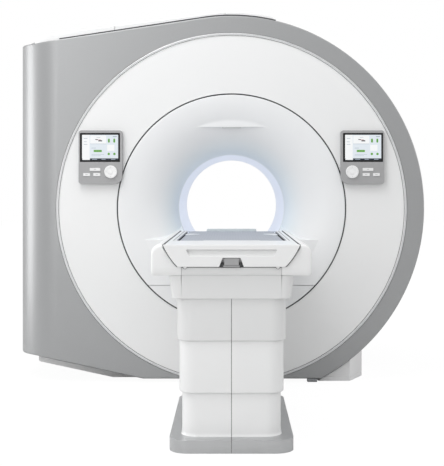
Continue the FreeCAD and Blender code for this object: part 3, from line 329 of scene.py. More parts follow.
# soft boxes round the scanner, in metres and watts
softboxes = {
    "key": {"at": (-1.6, -3.4, 5.2), "aim": (0, -1.2, 1.2), "size": (3, 3), "power": 95},
    "front": {"at": (-3.0, -7.5, 2.6), "aim": (0, -0.9, 1.2), "size": (2, 4), "power": 50},
    "left": {"at": (-6.4, -0.1, 1.6), "aim": (-1.3, -0.6, 1.2), "size": (2.6, 4), "power": 105},
    "right": {"at": (6.4, 0.2, 2.2), "aim": (1.2, -0.8, 1.2), "size": (1.8, 4), "power": 30},
    "back": {"at": (1.0, 6.5, 5.0), "aim": (0, 0, 1.2), "size": (6, 3), "power": 55},
}
for name, setting in softboxes.items():
    lamp = bpy.data.lights.new(name + "Softbox", "AREA")
    lamp.shape = "RECTANGLE"
    lamp.size, lamp.size_y = setting["size"]
    lamp.energy = setting["power"]
    holder = addObject(name + "Softbox", lamp)
    holder.location = setting["at"]
    holder.rotation_euler = (Vector(setting["aim"]) - Vector(setting["at"])).to_track_quat("-Z", "Y").to_euler()

# the room is a little brighter above, and white where it is looked at. The floor shows white to the camera and
# keeps part of the soft shadow.
studio = {"room": 0.67, "roomUp": 0.15, "floorColour": "D8D8D8", "floorGlow": 0.9, "floorWhite": 1.06,
          "floorReach": 30, "floorDrop": 0.0005}
world = bpy.data.worlds.new("studioRoom")
world.use_nodes = True
tree = world.node_tree
tree.nodes.clear()
bpy.context.scene.world = world
seen = addNode(tree, "LightPath")
straight = addNode(tree, "Math", {"operation": "MAXIMUM"},
                   {0: seen.outputs["Is Camera Ray"], 1: seen.outputs["Is Transmission Ray"]})
toward = addNode(tree, "TexCoord")
lean = addNode(tree, "VectorMath", {"operation": "DOT_PRODUCT", 1: (0, 0, studio["roomUp"])},
               {0: toward.outputs["Generated"]})
soft = addNode(tree, "Math", {"operation": "ADD", 1: studio["room"]}, {0: lean.outputs["Value"]})
level = addNode(tree, "MapRange", {"To Max": 1.0},
                {"Value": straight.outputs["Value"], "To Min": soft.outputs["Value"]})
air = addNode(tree, "Background", {"Color": (1, 1, 1, 1)}, {"Strength": level.outputs["Result"]})
addNode(tree, "OutputWorld", None, {"Surface": air.outputs["Background"]})

floorMaterial, tree = blankMaterial("whiteVinylFloorWelded")
seen = addNode(tree, "LightPath")
matt = addNode(tree, "BsdfDiffuse", {"Color": linear(studio["floorColour"])})
glow = addNode(tree, "Emission", {"Color": (1, 1, 1, 1), "Strength": studio["floorWhite"]})
share = addNode(tree, "Math", {"operation": "MULTIPLY", 1: studio["floorGlow"]}, {0: seen.outputs["Is Camera Ray"]})
blended = addNode(tree, "MixShader", None, {0: share.outputs["Value"], 1: matt.outputs["BSDF"],
                                            2: glow.outputs["Emission"]})
addNode(tree, "OutputMaterial", None, {"Surface": blended.outputs["Shader"]})
floorMesh = bpy.data.meshes.new("studioFloor")
reach = studio["floorReach"]
floorMesh.from_pydata([(x, y, -studio["floorDrop"]) for x, y in
                       ((-reach, -reach), (reach, -reach), (reach, reach), (-reach, reach))], [], [(0, 1, 2, 3)])
floorMesh.materials.append(floorMaterial)
floor = addObject("studioFloor", floorMesh)


def skin(rows, ring=False, shape=None):
    # quads between closed rows of points, with the ends capped where the rows don't join up
    shape = shape or bmesh.new()
    grid = [[shape.verts.new([value * mm for value in point]) for point in row] for row in rows]
    count, wide = len(grid), len(grid[0])
    for i in range(count if ring else count - 1):
        this, following = grid[i], grid[(i + 1) % count]
        for j in range(wide):
            k = (j + 1) % wide
            shape.faces.new((this[j], this[k], following[k], following[j]))
    if not ring:
        shape.faces.new(grid[0][::-1])
        shape.faces.new(grid[-1])
    return shape


def circleRow(radius, y, steps, centreX=0, centreZ=axisHeight):
    turns = [2 * math.pi * i / steps for i in range(steps)]
    return [(centreX + radius * math.sin(a), y, centreZ + radius * math.cos(a)) for a in turns]


def filleted(corners, steps=6):
    # corners are (u, v, radius); each is rounded off by an arc of that radius
    path = []
    for i, (u, v, radius) in enumerate(corners):
        if radius == 0:
            path.append((u, v))
            continue
        here = Vector((u, v))
        before, after = Vector(corners[i - 1][:2]), Vector(corners[(i + 1) % len(corners)][:2])
        toBefore, toAfter = (before - here).normalized(), (after - here).normalized()
        half = toBefore.angle(toAfter) / 2
        middle = here + (toBefore + toAfter).normalized() * (radius / math.sin(half))
        start = here + toBefore * (radius / math.tan(half)) - middle
        sweep = start.angle_signed(here + toAfter * (radius / math.tan(half)) - middle)
        for k in range(steps + 1):
            turn = -sweep * k / steps
            path.append((middle.x + start.x * math.cos(turn) - start.y * math.sin(turn),
                         middle.y + start.x * math.sin(turn) + start.y * math.cos(turn)))
    return path


def box(left, bottom, right, top, corner=0.0, steps=4):
    return filleted([(left, bottom, corner), (right, bottom, corner), (right, top, corner), (left, top, corner)],
                    steps)


def trapezium(lowHalf, low, highHalf, high, lowRound=0, highRound=0, steps=6):
    return filleted([(-lowHalf, low, lowRound), (lowHalf, low, lowRound), (highHalf, high, highRound),
                     (-highHalf, high, highRound)], steps)


def frontal(u, v, w):
    return u, w, v


def flatLaid(u, v, w):
    return u, v, w


def sideways(u, v, w):
    return w, u, v


def slab(loops, start, end, place=frontal, shape=None):
    # a plate with the first loop as its outline and the others as its holes
    shape = shape or bmesh.new()
    ends = []
    for depth in (start, end):
        paths = [[shape.verts.new([value * mm for value in place(u, v, depth)]) for u, v in loop]
                 for loop in loops]
        edges = [shape.edges.new((path[i - 1], path[i])) for path in paths for i in range(len(path))]
        bmesh.ops.triangle_fill(shape, use_beauty=True, edges=edges)
        ends.append(paths)
    for near, far in zip(*ends):
        for i in range(len(near)):
            shape.faces.new((near[i - 1], near[i], far[i], far[i - 1]))
    return shape


def mirrored(loop, sign):
    return [(sign * u, v) for u, v in loop][::sign]


def arcPoints(radius, fromHeight, toHeight, steps):
    # points on a circle about the bore axis between two heights below it
    first, last = (math.asin((axisHeight - height) / radius) for height in (fromHeight, toHeight))
    turns = [first + (last - first) * i / steps for i in range(steps + 1)]
    return [(radius * math.cos(a), axisHeight - radius * math.sin(a)) for a in turns]


def splitAt(shape, height, keepAbove):
    # cuts the closed shape at this height and closes what stays
    geometry = shape.verts[:] + shape.edges[:] + shape.faces[:]
    bmesh.ops.bisect_plane(shape, geom=geometry, dist=0.001 * mm, plane_co=(0, 0, height * mm),
                           plane_no=(0, 0, 1), clear_inner=keepAbove, clear_outer=not keepAbove)
    bmesh.ops.holes_fill(shape, edges=[edge for edge in shape.edges if edge.is_boundary])
    return shape


print("entrance funnel")

funnel = {"mouth": 727, "throat": 350, "front": 890, "start": 610, "rim": 3, "flange": 784, "collar": 450,
          "seam": (619, 622), "visorRise": 520, "visorFront": 863, "lip": 3, "columns": 384, "throatSteps": 26,
          "visorSteps": 4, "mouthSteps": 14, "rimSteps": 3,
          "bezel": (-62, 1631.5, 62, 1636.5, 1.5), "bezelFront": -863.6, "bezelBack": -850}


def trumpetY(radius):
    share = (funnel["mouth"] - radius) / (funnel["mouth"] - funnel["throat"])
    return -funnel["start"] - (funnel["front"] - funnel["start"]) * math.sqrt(max(0, 1 - share * share))


def trumpetRadius(y):
    share = (-y - funnel["start"]) / (funnel["front"] - funnel["start"])
    return funnel["mouth"] - (funnel["mouth"] - funnel["throat"]) * math.sqrt(1 - share * share)


def evenRadii(start, end, count):
    # radii that are evenly spread by the ellipse's own angle
    reach = funnel["mouth"] - funnel["throat"]
    first, last = (math.acos((funnel["mouth"] - radius) / reach) for radius in (start, end))
    return [funnel["mouth"] - reach * math.cos(first + (last - first) * i / count) for i in range(count + 1)]


def funnelSection(angle):
    # from the throat over the visor, where there is one, to the mouth's rim and back along the flange
    rise = math.cos(angle)
    visorFront, visorEnd = -funnel["visorFront"], trumpetRadius(-funnel["visorFront"])
    edge = min(funnel["visorRise"] / rise, visorEnd - 0.5) if rise > 0.5 else visorEnd - 0.5
    overhang = trumpetY(edge) - visorFront
    underVisor = funnel["visorRise"] / max(rise, 0.1) < visorEnd - 0.5
    lip = min(funnel["lip"], overhang / 2) if underVisor else 0
    section = [(radius, trumpetY(radius)) for radius in evenRadii(funnel["throat"], edge, funnel["throatSteps"])]
    for share, depth in ((0, 1), (0.3, 0.3), (1, 0)):
        radius = edge + lip * share
        section.append((radius, visorFront + lip * depth if underVisor else trumpetY(radius)))
    for i in range(funnel["visorSteps"]):
        radius = edge + lip + (visorEnd - edge - lip) * (i + 1) / funnel["visorSteps"]
        section.append((radius, visorFront if underVisor else trumpetY(radius)))
    section += [(radius, trumpetY(radius))
                for radius in evenRadii(visorEnd, funnel["mouth"] - funnel["rim"], funnel["mouthSteps"])[1:]]
    for i in range(funnel["rimSteps"]):
        turn = math.pi / 2 * (i + 1) / funnel["rimSteps"]
        section.append((funnel["mouth"] - funnel["rim"] * (1 - math.sin(turn)),
                        -funnel["front"] + funnel["rim"] * (1 - math.cos(turn))))
    return section + [(funnel["mouth"], -funnel["flange"]), (funnel["collar"], -funnel["flange"]),
                      (funnel["collar"], -funnel["start"])]


def polarRows(sectionAt, angles):
    # one row for each angle about the bore axis, from a section of radius and depth
    return [[(radius * math.sin(angle), y, axisHeight + radius * math.cos(angle)) for radius, y in sectionAt(angle)]
            for angle in angles]


angles = [2 * math.pi * i / funnel["columns"] for i in range(funnel["columns"])]
for name, node, height, above in (("entranceFunnel", "funnel_upper", funnel["seam"][1], True),
                                  ("entranceLowerPanel", "funnel_lower_panel", funnel["seam"][0], False)):
    shape = skin(polarRows(funnelSection, angles), True)
    bmesh.ops.remove_doubles(shape, verts=shape.verts, dist=0.01 * mm)
    makePiece(name, splitAt(shape, height, above), "gantry", funnelPaintAndBoreLight, "white_cover", (node,))
makePiece("laserWindowBezel", slab([box(*funnel["bezel"], 2)], funnel["bezelFront"], funnel["bezelBack"]), "gantry",
          trimAnodised, "white_cover")
softened("laser_window", acrylicTinted, 0.4)

print("front covers")

# inner and outer radius, front, back and edge of each ring; all but the funnel's dark ring end above the floor
rings = {"cover": (735, 1105.5, 890, 862, 3), "trim": (1108, 1124, 889, 862, 5, 5),
         "gasket": (1100, 1127, 880, 864, 1), "funnelShadeRing": (725, 737, 880, 866, 1), "foot": 21, "gasketFoot": 22,
         "steps": 360}


def ringPiece(name, section, material, slot, nodes=(), foot=None):
    shape = skin([circleRow(radius, y, rings["steps"]) for radius, y in section], True)
    makePiece(name, splitAt(shape, foot, True) if foot else shape, "gantry", material, slot, nodes)


def softRectangle(inner, outer, front, back, edge, steps=3):
    # a ring's section: its two rounded front edges stand as lips, and its face lies back by their width
    turns = [math.pi / 2 * i / steps for i in range(steps + 1)]
    corner = [(edge * (1 - math.sin(a)), edge * (1 - math.cos(a)) - front) for a in turns]
    return ([(inner + u, y) for u, y in corner] + [(outer - u, y) for u, y in reversed(corner)] +
            [(outer, -back), (inner, -back)])


ringPiece("roundFrontCover", softRectangle(*rings["cover"]), whitePaintSprayed, "white_cover", ("front_cover_ring",),
          rings["foot"])
ringPiece("roundCoverTrim", softRectangle(*rings["trim"]), trimLacquered, "white_cover", (), rings["foot"])
# the two dark rings are painted shade, darkening the gaps round the white cover
ringPiece("roundCoverShadeRing", softRectangle(*rings["gasket"]), darkRubberAndShadeStrips, None, (), rings["gasketFoot"])
ringPiece("funnelShadeRing", softRectangle(*rings["funnelShadeRing"]), darkRubberAndShadeStrips, None)

# the fascia: the opening round the white cover has a crisp edge, the outer rim a wide one. Its top edge falls a
# little more to the left than its plain outline, and its lower edge runs higher to the left in the same way.
fascia = {"edge": 9, "crispWithin": 1130, "crisp": 0.15, "radius": 1235, "slope": 0.129, "tangent": -158, "fall": 20,
          "fallAt": -1110, "left": -1390, "corner": 110, "above": 2100, "below": 160, "lift": 33, "liftLeft": 13,
          "foot": -568}
# the dark strip along the top edge, painted shade for the shadow gap under the top covers: how far it stands over
# the edge and reaches below it, and where it ends
crestShadeStrip = {"right": 286, "proud": 13, "deep": 8, "front": -846, "back": -843.5, "steps": 24}


def cornerShare(x):
    return min(1, (x - fascia["left"]) / fascia["corner"])


def crestFall(x):
    if x > fascia["fallAt"]:
        return fascia["fall"] * max(0, fascia["tangent"] - x) / (fascia["tangent"] - fascia["fallAt"])
    return fascia["fall"] * cornerShare(x)


def footLift(x):
    if x > fascia["fallAt"]:
        return fascia["lift"] * max(0, fascia["foot"] - x) / (fascia["foot"] - fascia["fallAt"])
    return fascia["liftLeft"] + (fascia["lift"] - fascia["liftLeft"]) * cornerShare(x)


def crestHeight(x):
    onRound = axisHeight + math.sqrt(fascia["radius"] ** 2 - max(x, fascia["tangent"]) ** 2)
    return onRound + fascia["slope"] * min(0, x - fascia["tangent"]) - crestFall(x)


def fasciaWeight(point):
    return fascia["crisp"] if math.hypot(point.x, point.z - axisHeight) < fascia["crispWithin"] else 1


piece = softened("front_fascia", flakePaintSprayed, fascia["edge"], 3, fasciaWeight, False)
for point in piece.data.vertices:
    x, z = point.co.x / mm, point.co.z / mm
    if z > fascia["above"] and x < fascia["tangent"]:
        point.co.z -= crestFall(x) * mm
    elif z < fascia["below"] and x < fascia["foot"] - 2:
        point.co.z += footLift(x) * mm
spots = [fascia["fallAt"]] + [fascia["tangent"] + (crestShadeStrip["right"] - fascia["tangent"]) * i / crestShadeStrip["steps"]
                              for i in range(crestShadeStrip["steps"] + 1)]
loop = [(x, crestHeight(x) - crestShadeStrip["deep"]) for x in spots]
loop += [(x, crestHeight(x) + crestShadeStrip["proud"]) for x in reversed(spots)]
makePiece("crestShadeStrip", slab([loop], crestShadeStrip["front"], crestShadeStrip["back"]), "gantry", darkRubberAndShadeStrips, "grey_cover")

print("gantry sides, top and back")

roundSide = {"outer": 1243, "inner": 1213, "front": -844, "back": 850, "foot": 21, "seams": (-320, 260),
             "seamWide": 4, "seamDeep": 5, "startX": 289, "columns": 220, "edge": 5}


def sideSection(angle):
    # front to back over the outside, with a groove at each panel seam, and back along the inside
    outer, inner, front, edge = (roundSide[key] for key in ("outer", "inner", "front", "edge"))
    wide, deep = roundSide["seamWide"] / 2, roundSide["seamDeep"]
    section = [(inner, front), (outer - edge, front), (outer - edge * 0.3, front + edge * 0.3), (outer, front + edge)]
    for seam in roundSide["seams"]:
        section += [(outer, seam - wide - 1), (outer - 1, seam - wide), (outer - deep, seam - wide),
                    (outer - deep, seam + wide), (outer - 1, seam + wide), (outer, seam + wide + 1)]
    return section + [(outer, roundSide["back"]), (inner, roundSide["back"])]


start = math.asin(roundSide["startX"] / roundSide["outer"])
end = math.acos((roundSide["foot"] - axisHeight) / roundSide["outer"])
angles = [start + (end - start) * i / roundSide["columns"] for i in range(roundSide["columns"] + 1)]
makePiece("roundSideCover", skin(polarRows(sideSection, angles)), "gantry", flakePaintSprayed, "grey_cover",
          ("side_cover_right",))
for part in ("left", "middle", "right"):
    softened("top_cover_" + part, whitePaintSprayed, 8, 3)

# the doors: gaps round them, and louvres as stacks of slots with round ends
doors = {"gap": 4, "deep": 5, "slots": 12, "pitch": 17, "slotHigh": 7, "slotDeep": 14}
# each sill and louvre has its left and right ends and its height, the locks their places across and up
flatSide = {"face": -1390, "seams": (-120, 370), "low": 100, "high": 2260, "sill": (380, 900, 640),
            "louvre": (470, 760, 330), "locks": ((-164, 326, 418), (720, 1940))}
rear = {"face": 890, "seams": (-655, 655), "low": 0, "high": 2420, "sill": (-649, 653, 575),
        "louvre": (-1180, -860, 1560), "locks": ((-699, -607, 611, 703), (700, 1900)), "ring": (452, 455),
        "plate": (-260, 170, 260, 430), "plateCorner": 12, "plateGap": 3, "plateDeep": 6, "plateSet": 1,
        "plateEdge": 1, "ringSteps": 180}


def doorCuts(cover, outward, place):
    tools, face = bmesh.new(), cover["face"]
    cut = (face - doors["deep"], face + doors["deep"], place, tools)
    for seam in cover["seams"]:
        slab([box(seam, cover["low"], seam + doors["gap"], cover["high"])], *cut)
    left, right, height = cover["sill"]
    slab([box(left, height, right, height + doors["gap"])], *cut)
    left, right, low = cover["louvre"]
    start, end = sorted((face + outward * doors["deep"], face - outward * doors["slotDeep"]))
    for i in range(doors["slots"]):
        rise, high = low + doors["pitch"] * i, doors["slotHigh"]
        slab([box(left, rise, right, rise + high, high / 2 - 0.1, 3)], start, end, place, tools)
    return tools


carve(softened("side_cover_left", flakePaintSprayed, 4), doorCuts(flatSide, -1, sideways))
# the back also has a ring gap round the flared exit and a service plate in its recess
tools = doorCuts(rear, 1, frontal)
start, end = rear["face"] - doors["deep"], rear["face"] + doors["deep"]
inner, outer = rear["ring"]
skin([circleRow(radius, y, rear["ringSteps"]) for radius, y in
      ((inner, start), (outer, start), (outer, end), (inner, end))], True, tools)
floorOfRecess, gap = rear["face"] - rear["plateDeep"], rear["plateGap"]
slab([box(*rear["plate"], rear["plateCorner"])], floorOfRecess, end, frontal, tools)
carve(softened("rear_cover", whitePaintSprayed, 6), tools)
left, bottom, right, top = rear["plate"]
plate = slab([box(left + gap, bottom + gap, right - gap, top - gap, rear["plateCorner"] - gap)], floorOfRecess,
             rear["face"] - rear["plateSet"])
roundEdges(makePiece("servicePlate", plate, "gantry", trimAnodised, "white_cover"), rear["plateEdge"])

# quarter-turn locks of the doors: a turned disc with a coin slot over a plain one
lock = {"radius": 12, "proud": 0.8, "slotHalf": 7, "slotWide": 1.4, "steps": 32, "backShare": 0.98, "edge": 0.4,
        "discBack": 2, "plainFront": 1.2, "plainBack": 4}


def lockAt(shape, u, v, face, place, outward):
    disc = [(u + lock["radius"] * math.cos(a), v + lock["radius"] * math.sin(a))
            for a in (2 * math.pi * i / lock["steps"] for i in range(lock["steps"]))]
    coin = box(u - lock["slotHalf"], v - lock["slotWide"], u + lock["slotHalf"], v + lock["slotWide"], 1, 2)
    slab([disc, coin], face - outward * lock["discBack"], face + outward * lock["proud"], place, shape)
    share = lock["backShare"]
    plain = [(a * share + u * (1 - share), b * share + v * (1 - share)) for a, b in disc]
    slab([plain], face - outward * lock["plainBack"], face - outward * lock["plainFront"], place, shape)


for name, cover, outward, place, slot in (("rearLocks", rear, 1, frontal, "white_cover"),
                                          ("sideLocks", flatSide, -1, sideways, "grey_cover")):
    shape = bmesh.new()
    for u in cover["locks"][0]:
        for v in cover["locks"][1]:
            lockAt(shape, u, v, cover["face"] - outward, place, outward)
    roundEdges(makePiece(name, shape, "gantry", trimAnodised, slot), lock["edge"])

skirt = {"left": -1267, "leftLow": 106, "footLeft": -780, "footRound": 40, "right": -602, "low": 0.5, "top": 250,
         "front": -712, "back": 640, "round": 16, "edge": 8}
outline = filleted([(skirt["left"], skirt["top"], 0), (skirt["left"], skirt["leftLow"], skirt["round"]),
                    (skirt["footLeft"], skirt["low"], skirt["footRound"]), (skirt["right"], skirt["low"], 0),
                    (skirt["right"], skirt["top"], 0)])
roundEdges(makePiece("bottomSkirt", slab([outline], skirt["front"], skirt["back"]), "gantry", skirtFormed,
                     "pale_skirt", ("bottom_skirt_left",)), skirt["edge"], 3)
softened("foot_cover_right", skirtFormed, 5)
softened("levelling_foot", steelPowderCoated, 3)
softened("bore_bridge", tabletopGelCoated, 1.5)
for side, _ in sides:
    softened("dock_fairing_" + side, funnelPaintAndBoreLight, 4, 3)

bore = {"inner": 350, "outer": 370, "half": 610, "ends": 30}
depths = (-bore["half"], bore["ends"] - bore["half"], 0, bore["half"] - bore["ends"], bore["half"])
ringPiece("boreLining", [(bore["inner"], y) for y in depths] + [(bore["outer"], bore["half"]),
                                                                (bore["outer"], -bore["half"])],
          boreGelCoatedPaintedGlow, "bore_lining", ("body_coil_tube",))

print("control panels")

panel = {"inner": 697, "outer": 974, "bottom": 1270, "top": 1611, "face": 925, "frameBack": 911, "back": 891,
         "corner": 17, "largeCorner": 50, "edge": 4, "softEdge": 0.25, "middleMargin": (16, 14), "holeCorner": 5,
         "screen": (710, 1410, 966, 1595), "glassGap": 0.6, "glassCorner": 4.4, "glassEdge": 0.6, "glassBack": 912,
         "dial": (769, 1347, 41), "keyGap": 0.8, "keyHoleCorner": 3,
         "keys": {"top": (835, 1353.5, 903, 1372), "inner": (835, 1320.5, 880, 1339),
                  "outer": (901, 1320.5, 944, 1339)}}


def grown(rectangle, size):
    left, low, right, high = rectangle
    return left - size, low - size, right + size, high + size


def panelHousing(side, sign):
    # a frame with holes on a plain back; its outer edges are wide and the holes' edges crisp
    small, large = panel["corner"], panel["largeCorner"]
    inner, outer, bottom, top = (panel[key] for key in ("inner", "outer", "bottom", "top"))
    outline = filleted([(inner, bottom, large), (outer, bottom, small), (outer, top, small), (inner, top, small)], 10)
    holes = [box(*panel["screen"], panel["holeCorner"])]
    holes += [box(*grown(key, panel["keyGap"]), panel["keyHoleCorner"]) for key in panel["keys"].values()]
    shape = slab([mirrored(loop, sign) for loop in [outline] + holes], -panel["face"], -panel["frameBack"])
    slab([mirrored(outline, sign)], 0.05 - panel["frameBack"], -panel["back"], shape=shape)
    middleX, middleZ = sign * (inner + outer) / 2, (bottom + top) / 2
    halfX, halfZ = (outer - inner) / 2 - panel["middleMargin"][0], (top - bottom) / 2 - panel["middleMargin"][1]

    def weigh(point):
        if point.y > 1 - panel["face"]:
            return 0.0
        u, v = abs(point.x) - inner - large, point.z - bottom - large
        onLargeCorner = u < 0 and v < 0 and math.hypot(u, v) > large - 2
        onRim = abs(point.x - middleX) > halfX or abs(point.z - middleZ) > halfZ
        return 1.0 if onRim or onLargeCorner else panel["softEdge"]

    weighEdges(shape, weigh)
    roundEdges(makePiece(side + "PanelHousing", shape, "gantry", greyMoulded, "panel_grey",
                         (side + "_panel_housing",)), panel["edge"], 3, True)


def litSurface(name, colour, tone):
    # a liquid crystal display's own light, with its slight cloudiness
    material, tree = blankMaterial(name)
    place = addNode(tree, "TexCoord")
    cloud = addNode(tree, "TexNoise", {"Scale": 1 / (25 * mm)}, {"Vector": place.outputs["Object"]})
    mixed = addNode(tree, "Mix", {"data_type": "RGBA", 6: linear(colour), 7: linear(tone)}, {0: cloud.outputs["Fac"]})
    shader = addNode(tree, "BsdfPrincipled", {"Roughness": 0.2, "Base Color": linear("101010"),
                                              "Emission Strength": 0.95}, {"Emission Color": mixed.outputs[2]})
    addNode(tree, "OutputMaterial", None, {"Surface": shader.outputs["BSDF"]})
    return material


litColours = [litSurface("display" + name + "Lit", colour, tone) for name, colour, tone in (
    ("PaleBlue", "E6EDF3", "DFE8F0"), ("White", "FBFCFC", "F4F7F9"), ("Green", "7DB55A", "6FA94C"),
    ("DeepGreen", "4F9A3A", "468C33"), ("Dark", "1B2733", "16202B"), ("Grey", "AEB9C4", "A4B0BC"),
    ("Rose", "C9A8A8", "B98F90"))]
# each field is left, bottom, right, top in millimetres from the display's lower left corner, then its
# colour and its layer; a dot is its middle and its radius
display = {"left": 14, "bottom": 11, "face": -924, "lift": 0.15, "layer": 0.12, "fields": [
    (0, 0, 230, 162, 0, 0), (0, 12, 48, 162, 1, 1), (52, 106, 154, 158, 1, 1), (52, 14, 154, 102, 0, 1),
    (158, 14, 228, 158, 0, 1), (0, 0, 230, 12, 4, 1), (2, 2, 50, 12, 1, 2), (64, 4, 96, 8, 5, 2),
    (124, 4, 150, 8, 5, 2), (184, 4, 212, 8, 5, 2), (160, 60, 206, 98, 1, 2), (74, 52, 126, 66, 2, 2),
    (78, 56, 90, 62, 3, 3), (94, 56, 106, 62, 3, 3), (110, 56, 122, 62, 3, 3), (52, 103, 154, 105, 5, 2),
    (60, 76, 88, 79, 5, 2), (60, 36, 140, 38, 5, 2), (60, 28, 120, 30, 5, 2), (10, 138, 34, 141, 5, 2),
    (10, 116, 30, 119, 5, 2), (10, 100, 34, 103, 5, 2), (196, 148, 222, 153, 5, 2), (90, 128, 120, 132, 6, 2),
    (104, 120, 128, 127, 4, 3), (84, 130, 100, 134, 4, 3), (92, 144, 116, 146, 5, 2)],
    "dots": [(170, 40, 8, 2, 2), (206, 40, 8, 2, 2), (170, 40, 4, 3, 3), (206, 40, 4, 3, 3)],
    "capsules": [(165, 112, 177, 138, 2, 2), (199, 112, 211, 138, 2, 2), (168, 116, 174, 132, 3, 3),
                 (202, 116, 208, 132, 3, 3)]}


def displayPicture(side, sign):
    # thin raised fields of light on the glass face
    shape = bmesh.new()
    screenLeft = min(sign * panel["screen"][0], sign * panel["screen"][2])
    left, bottom = screenLeft + display["left"], panel["screen"][1] + display["bottom"]
    loops = [(box(*field[:4]), *field[4:]) for field in display["fields"]]
    # a capsule's corners are nearly half its width
    loops += [(box(*field[:4], (field[2] - field[0]) / 2.1, 5), *field[4:]) for field in display["capsules"]]
    turns = [i * math.pi / 8 for i in range(16)]
    loops += [([(x + size * math.sin(a), z + size * math.cos(a)) for a in turns], colour, layer)
              for x, z, size, colour, layer in display["dots"]]
    for loop, colour, layer in loops:
        before = set(shape.faces)
        slab([[(left + u, bottom + v) for u, v in loop]],
             display["face"] - display["lift"] - display["layer"] * layer, display["face"], shape=shape)
        for face in set(shape.faces) - before:
            face.material_index = colour
    makePiece(side + "DisplayPicture", shape, "gantry", litColours, "screen")


def screenGlass(side, sign):
    loop = mirrored(box(*grown(panel["screen"], -panel["glassGap"]), panel["glassCorner"]), sign)
    roundEdges(makePiece(side + "ScreenGlass", slab([loop], display["face"], -panel["glassBack"]), "gantry",
                         acrylicTinted, "screen", (side + "_panel_screen",)), panel["glassEdge"])


# a dished disc with a ring groove and a raised centre: its profile from the back as radius and depth, the first
# part at its rim as what is taken off the dial's radius; and four small marks near its edge
dial = {"stem": ((7, -911), (7, -925.6)), "steps": 72,
        "rim": ((1, -925.6), (0, -926.6), (0, -934.6), (1.2, -936.6), (3, -937.4), (8, -937.0)),
        "centre": ((24, -936.2), (19, -935.8), (18.2, -934.6), (17.2, -934.6), (16.4, -936.2), (14, -937),
                   (4, -936.6)),
        "marks": 4, "markRadius": 1.6, "markAt": 30, "markBack": -936, "markFront": -937.2}


def dialKnob(side, sign):
    x, z, radius = sign * panel["dial"][0], panel["dial"][1], panel["dial"][2]
    steps = [*dial["stem"], *((radius - less, y) for less, y in dial["rim"]), *dial["centre"]]
    body = side + "_dial_knob"
    makePiece(side + "DialKnob", skin([circleRow(size, y, dial["steps"], x, z) for size, y in steps]), body,
              whiteMoulded, "dial_white", (side + "_dial",))
    marks = bmesh.new()
    for i in range(dial["marks"]):
        turn = 2 * math.pi * i / dial["marks"]
        skin([circleRow(dial["markRadius"], y, 10, x + dial["markAt"] * math.sin(turn),
                        z + dial["markAt"] * math.cos(turn)) for y in (dial["markBack"], dial["markFront"])],
             shape=marks)
    makePiece(side + "DialMarks", marks, body, greyMoulded, "dial_white")


keyCap = {"front": -929, "back": -916, "corner": 2.4, "edge": 1.4, "markHalf": 8, "markHigh": 1.2, "markCorner": 1.1,
          "markFront": -929.15, "markBack": -928.6}


def pressKey(side, sign, key):
    left, low, right, high = panel["keys"][key]
    name, body = "%s%sKey" % (side, key.capitalize()), "%s_%s_button" % (side, key)
    loop = mirrored(box(left, low, right, high, keyCap["corner"]), sign)
    roundEdges(makePiece(name, slab([loop], keyCap["front"], keyCap["back"]), body, whiteMoulded, "key_white",
                         ("%s_%s_key" % (side, key),)), keyCap["edge"], 3)
    x, z, half, tall = sign * (left + right) / 2, (low + high) / 2, keyCap["markHalf"], keyCap["markHigh"]
    mark = slab([box(x - half, z - tall, x + half, z + tall, keyCap["markCorner"])], keyCap["markFront"],
                keyCap["markBack"])
    makePiece(name + "Mark", mark, body, greyMoulded, "key_white")


for side, sign in sides:
    panelHousing(side, sign)
    screenGlass(side, sign)
    displayPicture(side, sign)
    dialKnob(side, sign)
    for key in panel["keys"]:
        pressKey(side, sign, key)

print("table foot and shrouds")

foot = {"half": 294, "front": -2661, "back": -1575, "height": 62, "corner": 90, "edge": 7, "seam": 1.2,
        "seamEdge": 0.1, "sealLow": 0.5, "sealSet": 1.4}
for side, sign in sides:
    corners = [(foot["seam"], foot["front"], 0), (foot["half"], foot["front"], foot["corner"]),
               (foot["half"], foot["back"], foot["corner"]), (foot["seam"], foot["back"], 0)]
    shape = slab([mirrored(filleted(corners, 18), sign)], 0, foot["height"], flatLaid)
    weighEdges(shape, lambda point: foot["seamEdge"] if abs(point.x) < 2 else 1)
    roundEdges(makePiece(side + "BasePlate", shape, "gantry", plateBrushed, "base_plate",
                         ("table_base",) if sign == 1 else ()), foot["edge"], 4, True)
# a dark strip in the seam between the plate's halves, painted shade for the gap
inset = foot["sealSet"]
makePiece("basePlateShadeStrip", slab([box(0.1 - foot["seam"], foot["sealLow"], foot["seam"] - 0.1, foot["height"] - inset)],
                                foot["front"] + inset, foot["back"] - inset), "gantry", darkRubberAndShadeStrips, "base_plate")

# each shroud's half width, front, back, bottom and top, how far its foot flares, its body and its paint; the upper
# one's deeper white is painted shade under the table top
shrouds = {"lower": (237, -2585, -1685, 62, 300, 5, "gantry", whitePaintSprayed),
           "middle": (250, -2598, -1672, 268, 530, 0, "middle_stage", whitePaintSprayed),
           "upper": (260.5, -2610, -1660, 517, 718, 0, "lift_table", housingPaintWithPaintedShade)}
shroudShell = {"wall": 8, "corner": 78, "edge": 7, "topEdge": 0.8, "flareHeight": 16, "seam": 1.3, "cornerSteps": 14,
               "sealSet": 1.4, "sealDeep": 5}


def shroudPlan(half, front, back):
    # points along half of the plan with the direction that faces out, front middle to back middle
    radius, steps = shroudShell["corner"], shroudShell["cornerSteps"]
    plan = [(shroudShell["seam"], front, 0, -1)]
    for centreY, start in ((front + radius, 0), (back - radius, math.pi / 2)):
        for i in range(steps + 1):
            turn = start + math.pi / 2 * i / steps
            outX, outY = math.sin(turn), -math.cos(turn)
            plan.append((half - radius + radius * outX, centreY + radius * outY, outX, outY))
    return plan + [(shroudShell["seam"], back, 0, 1)]


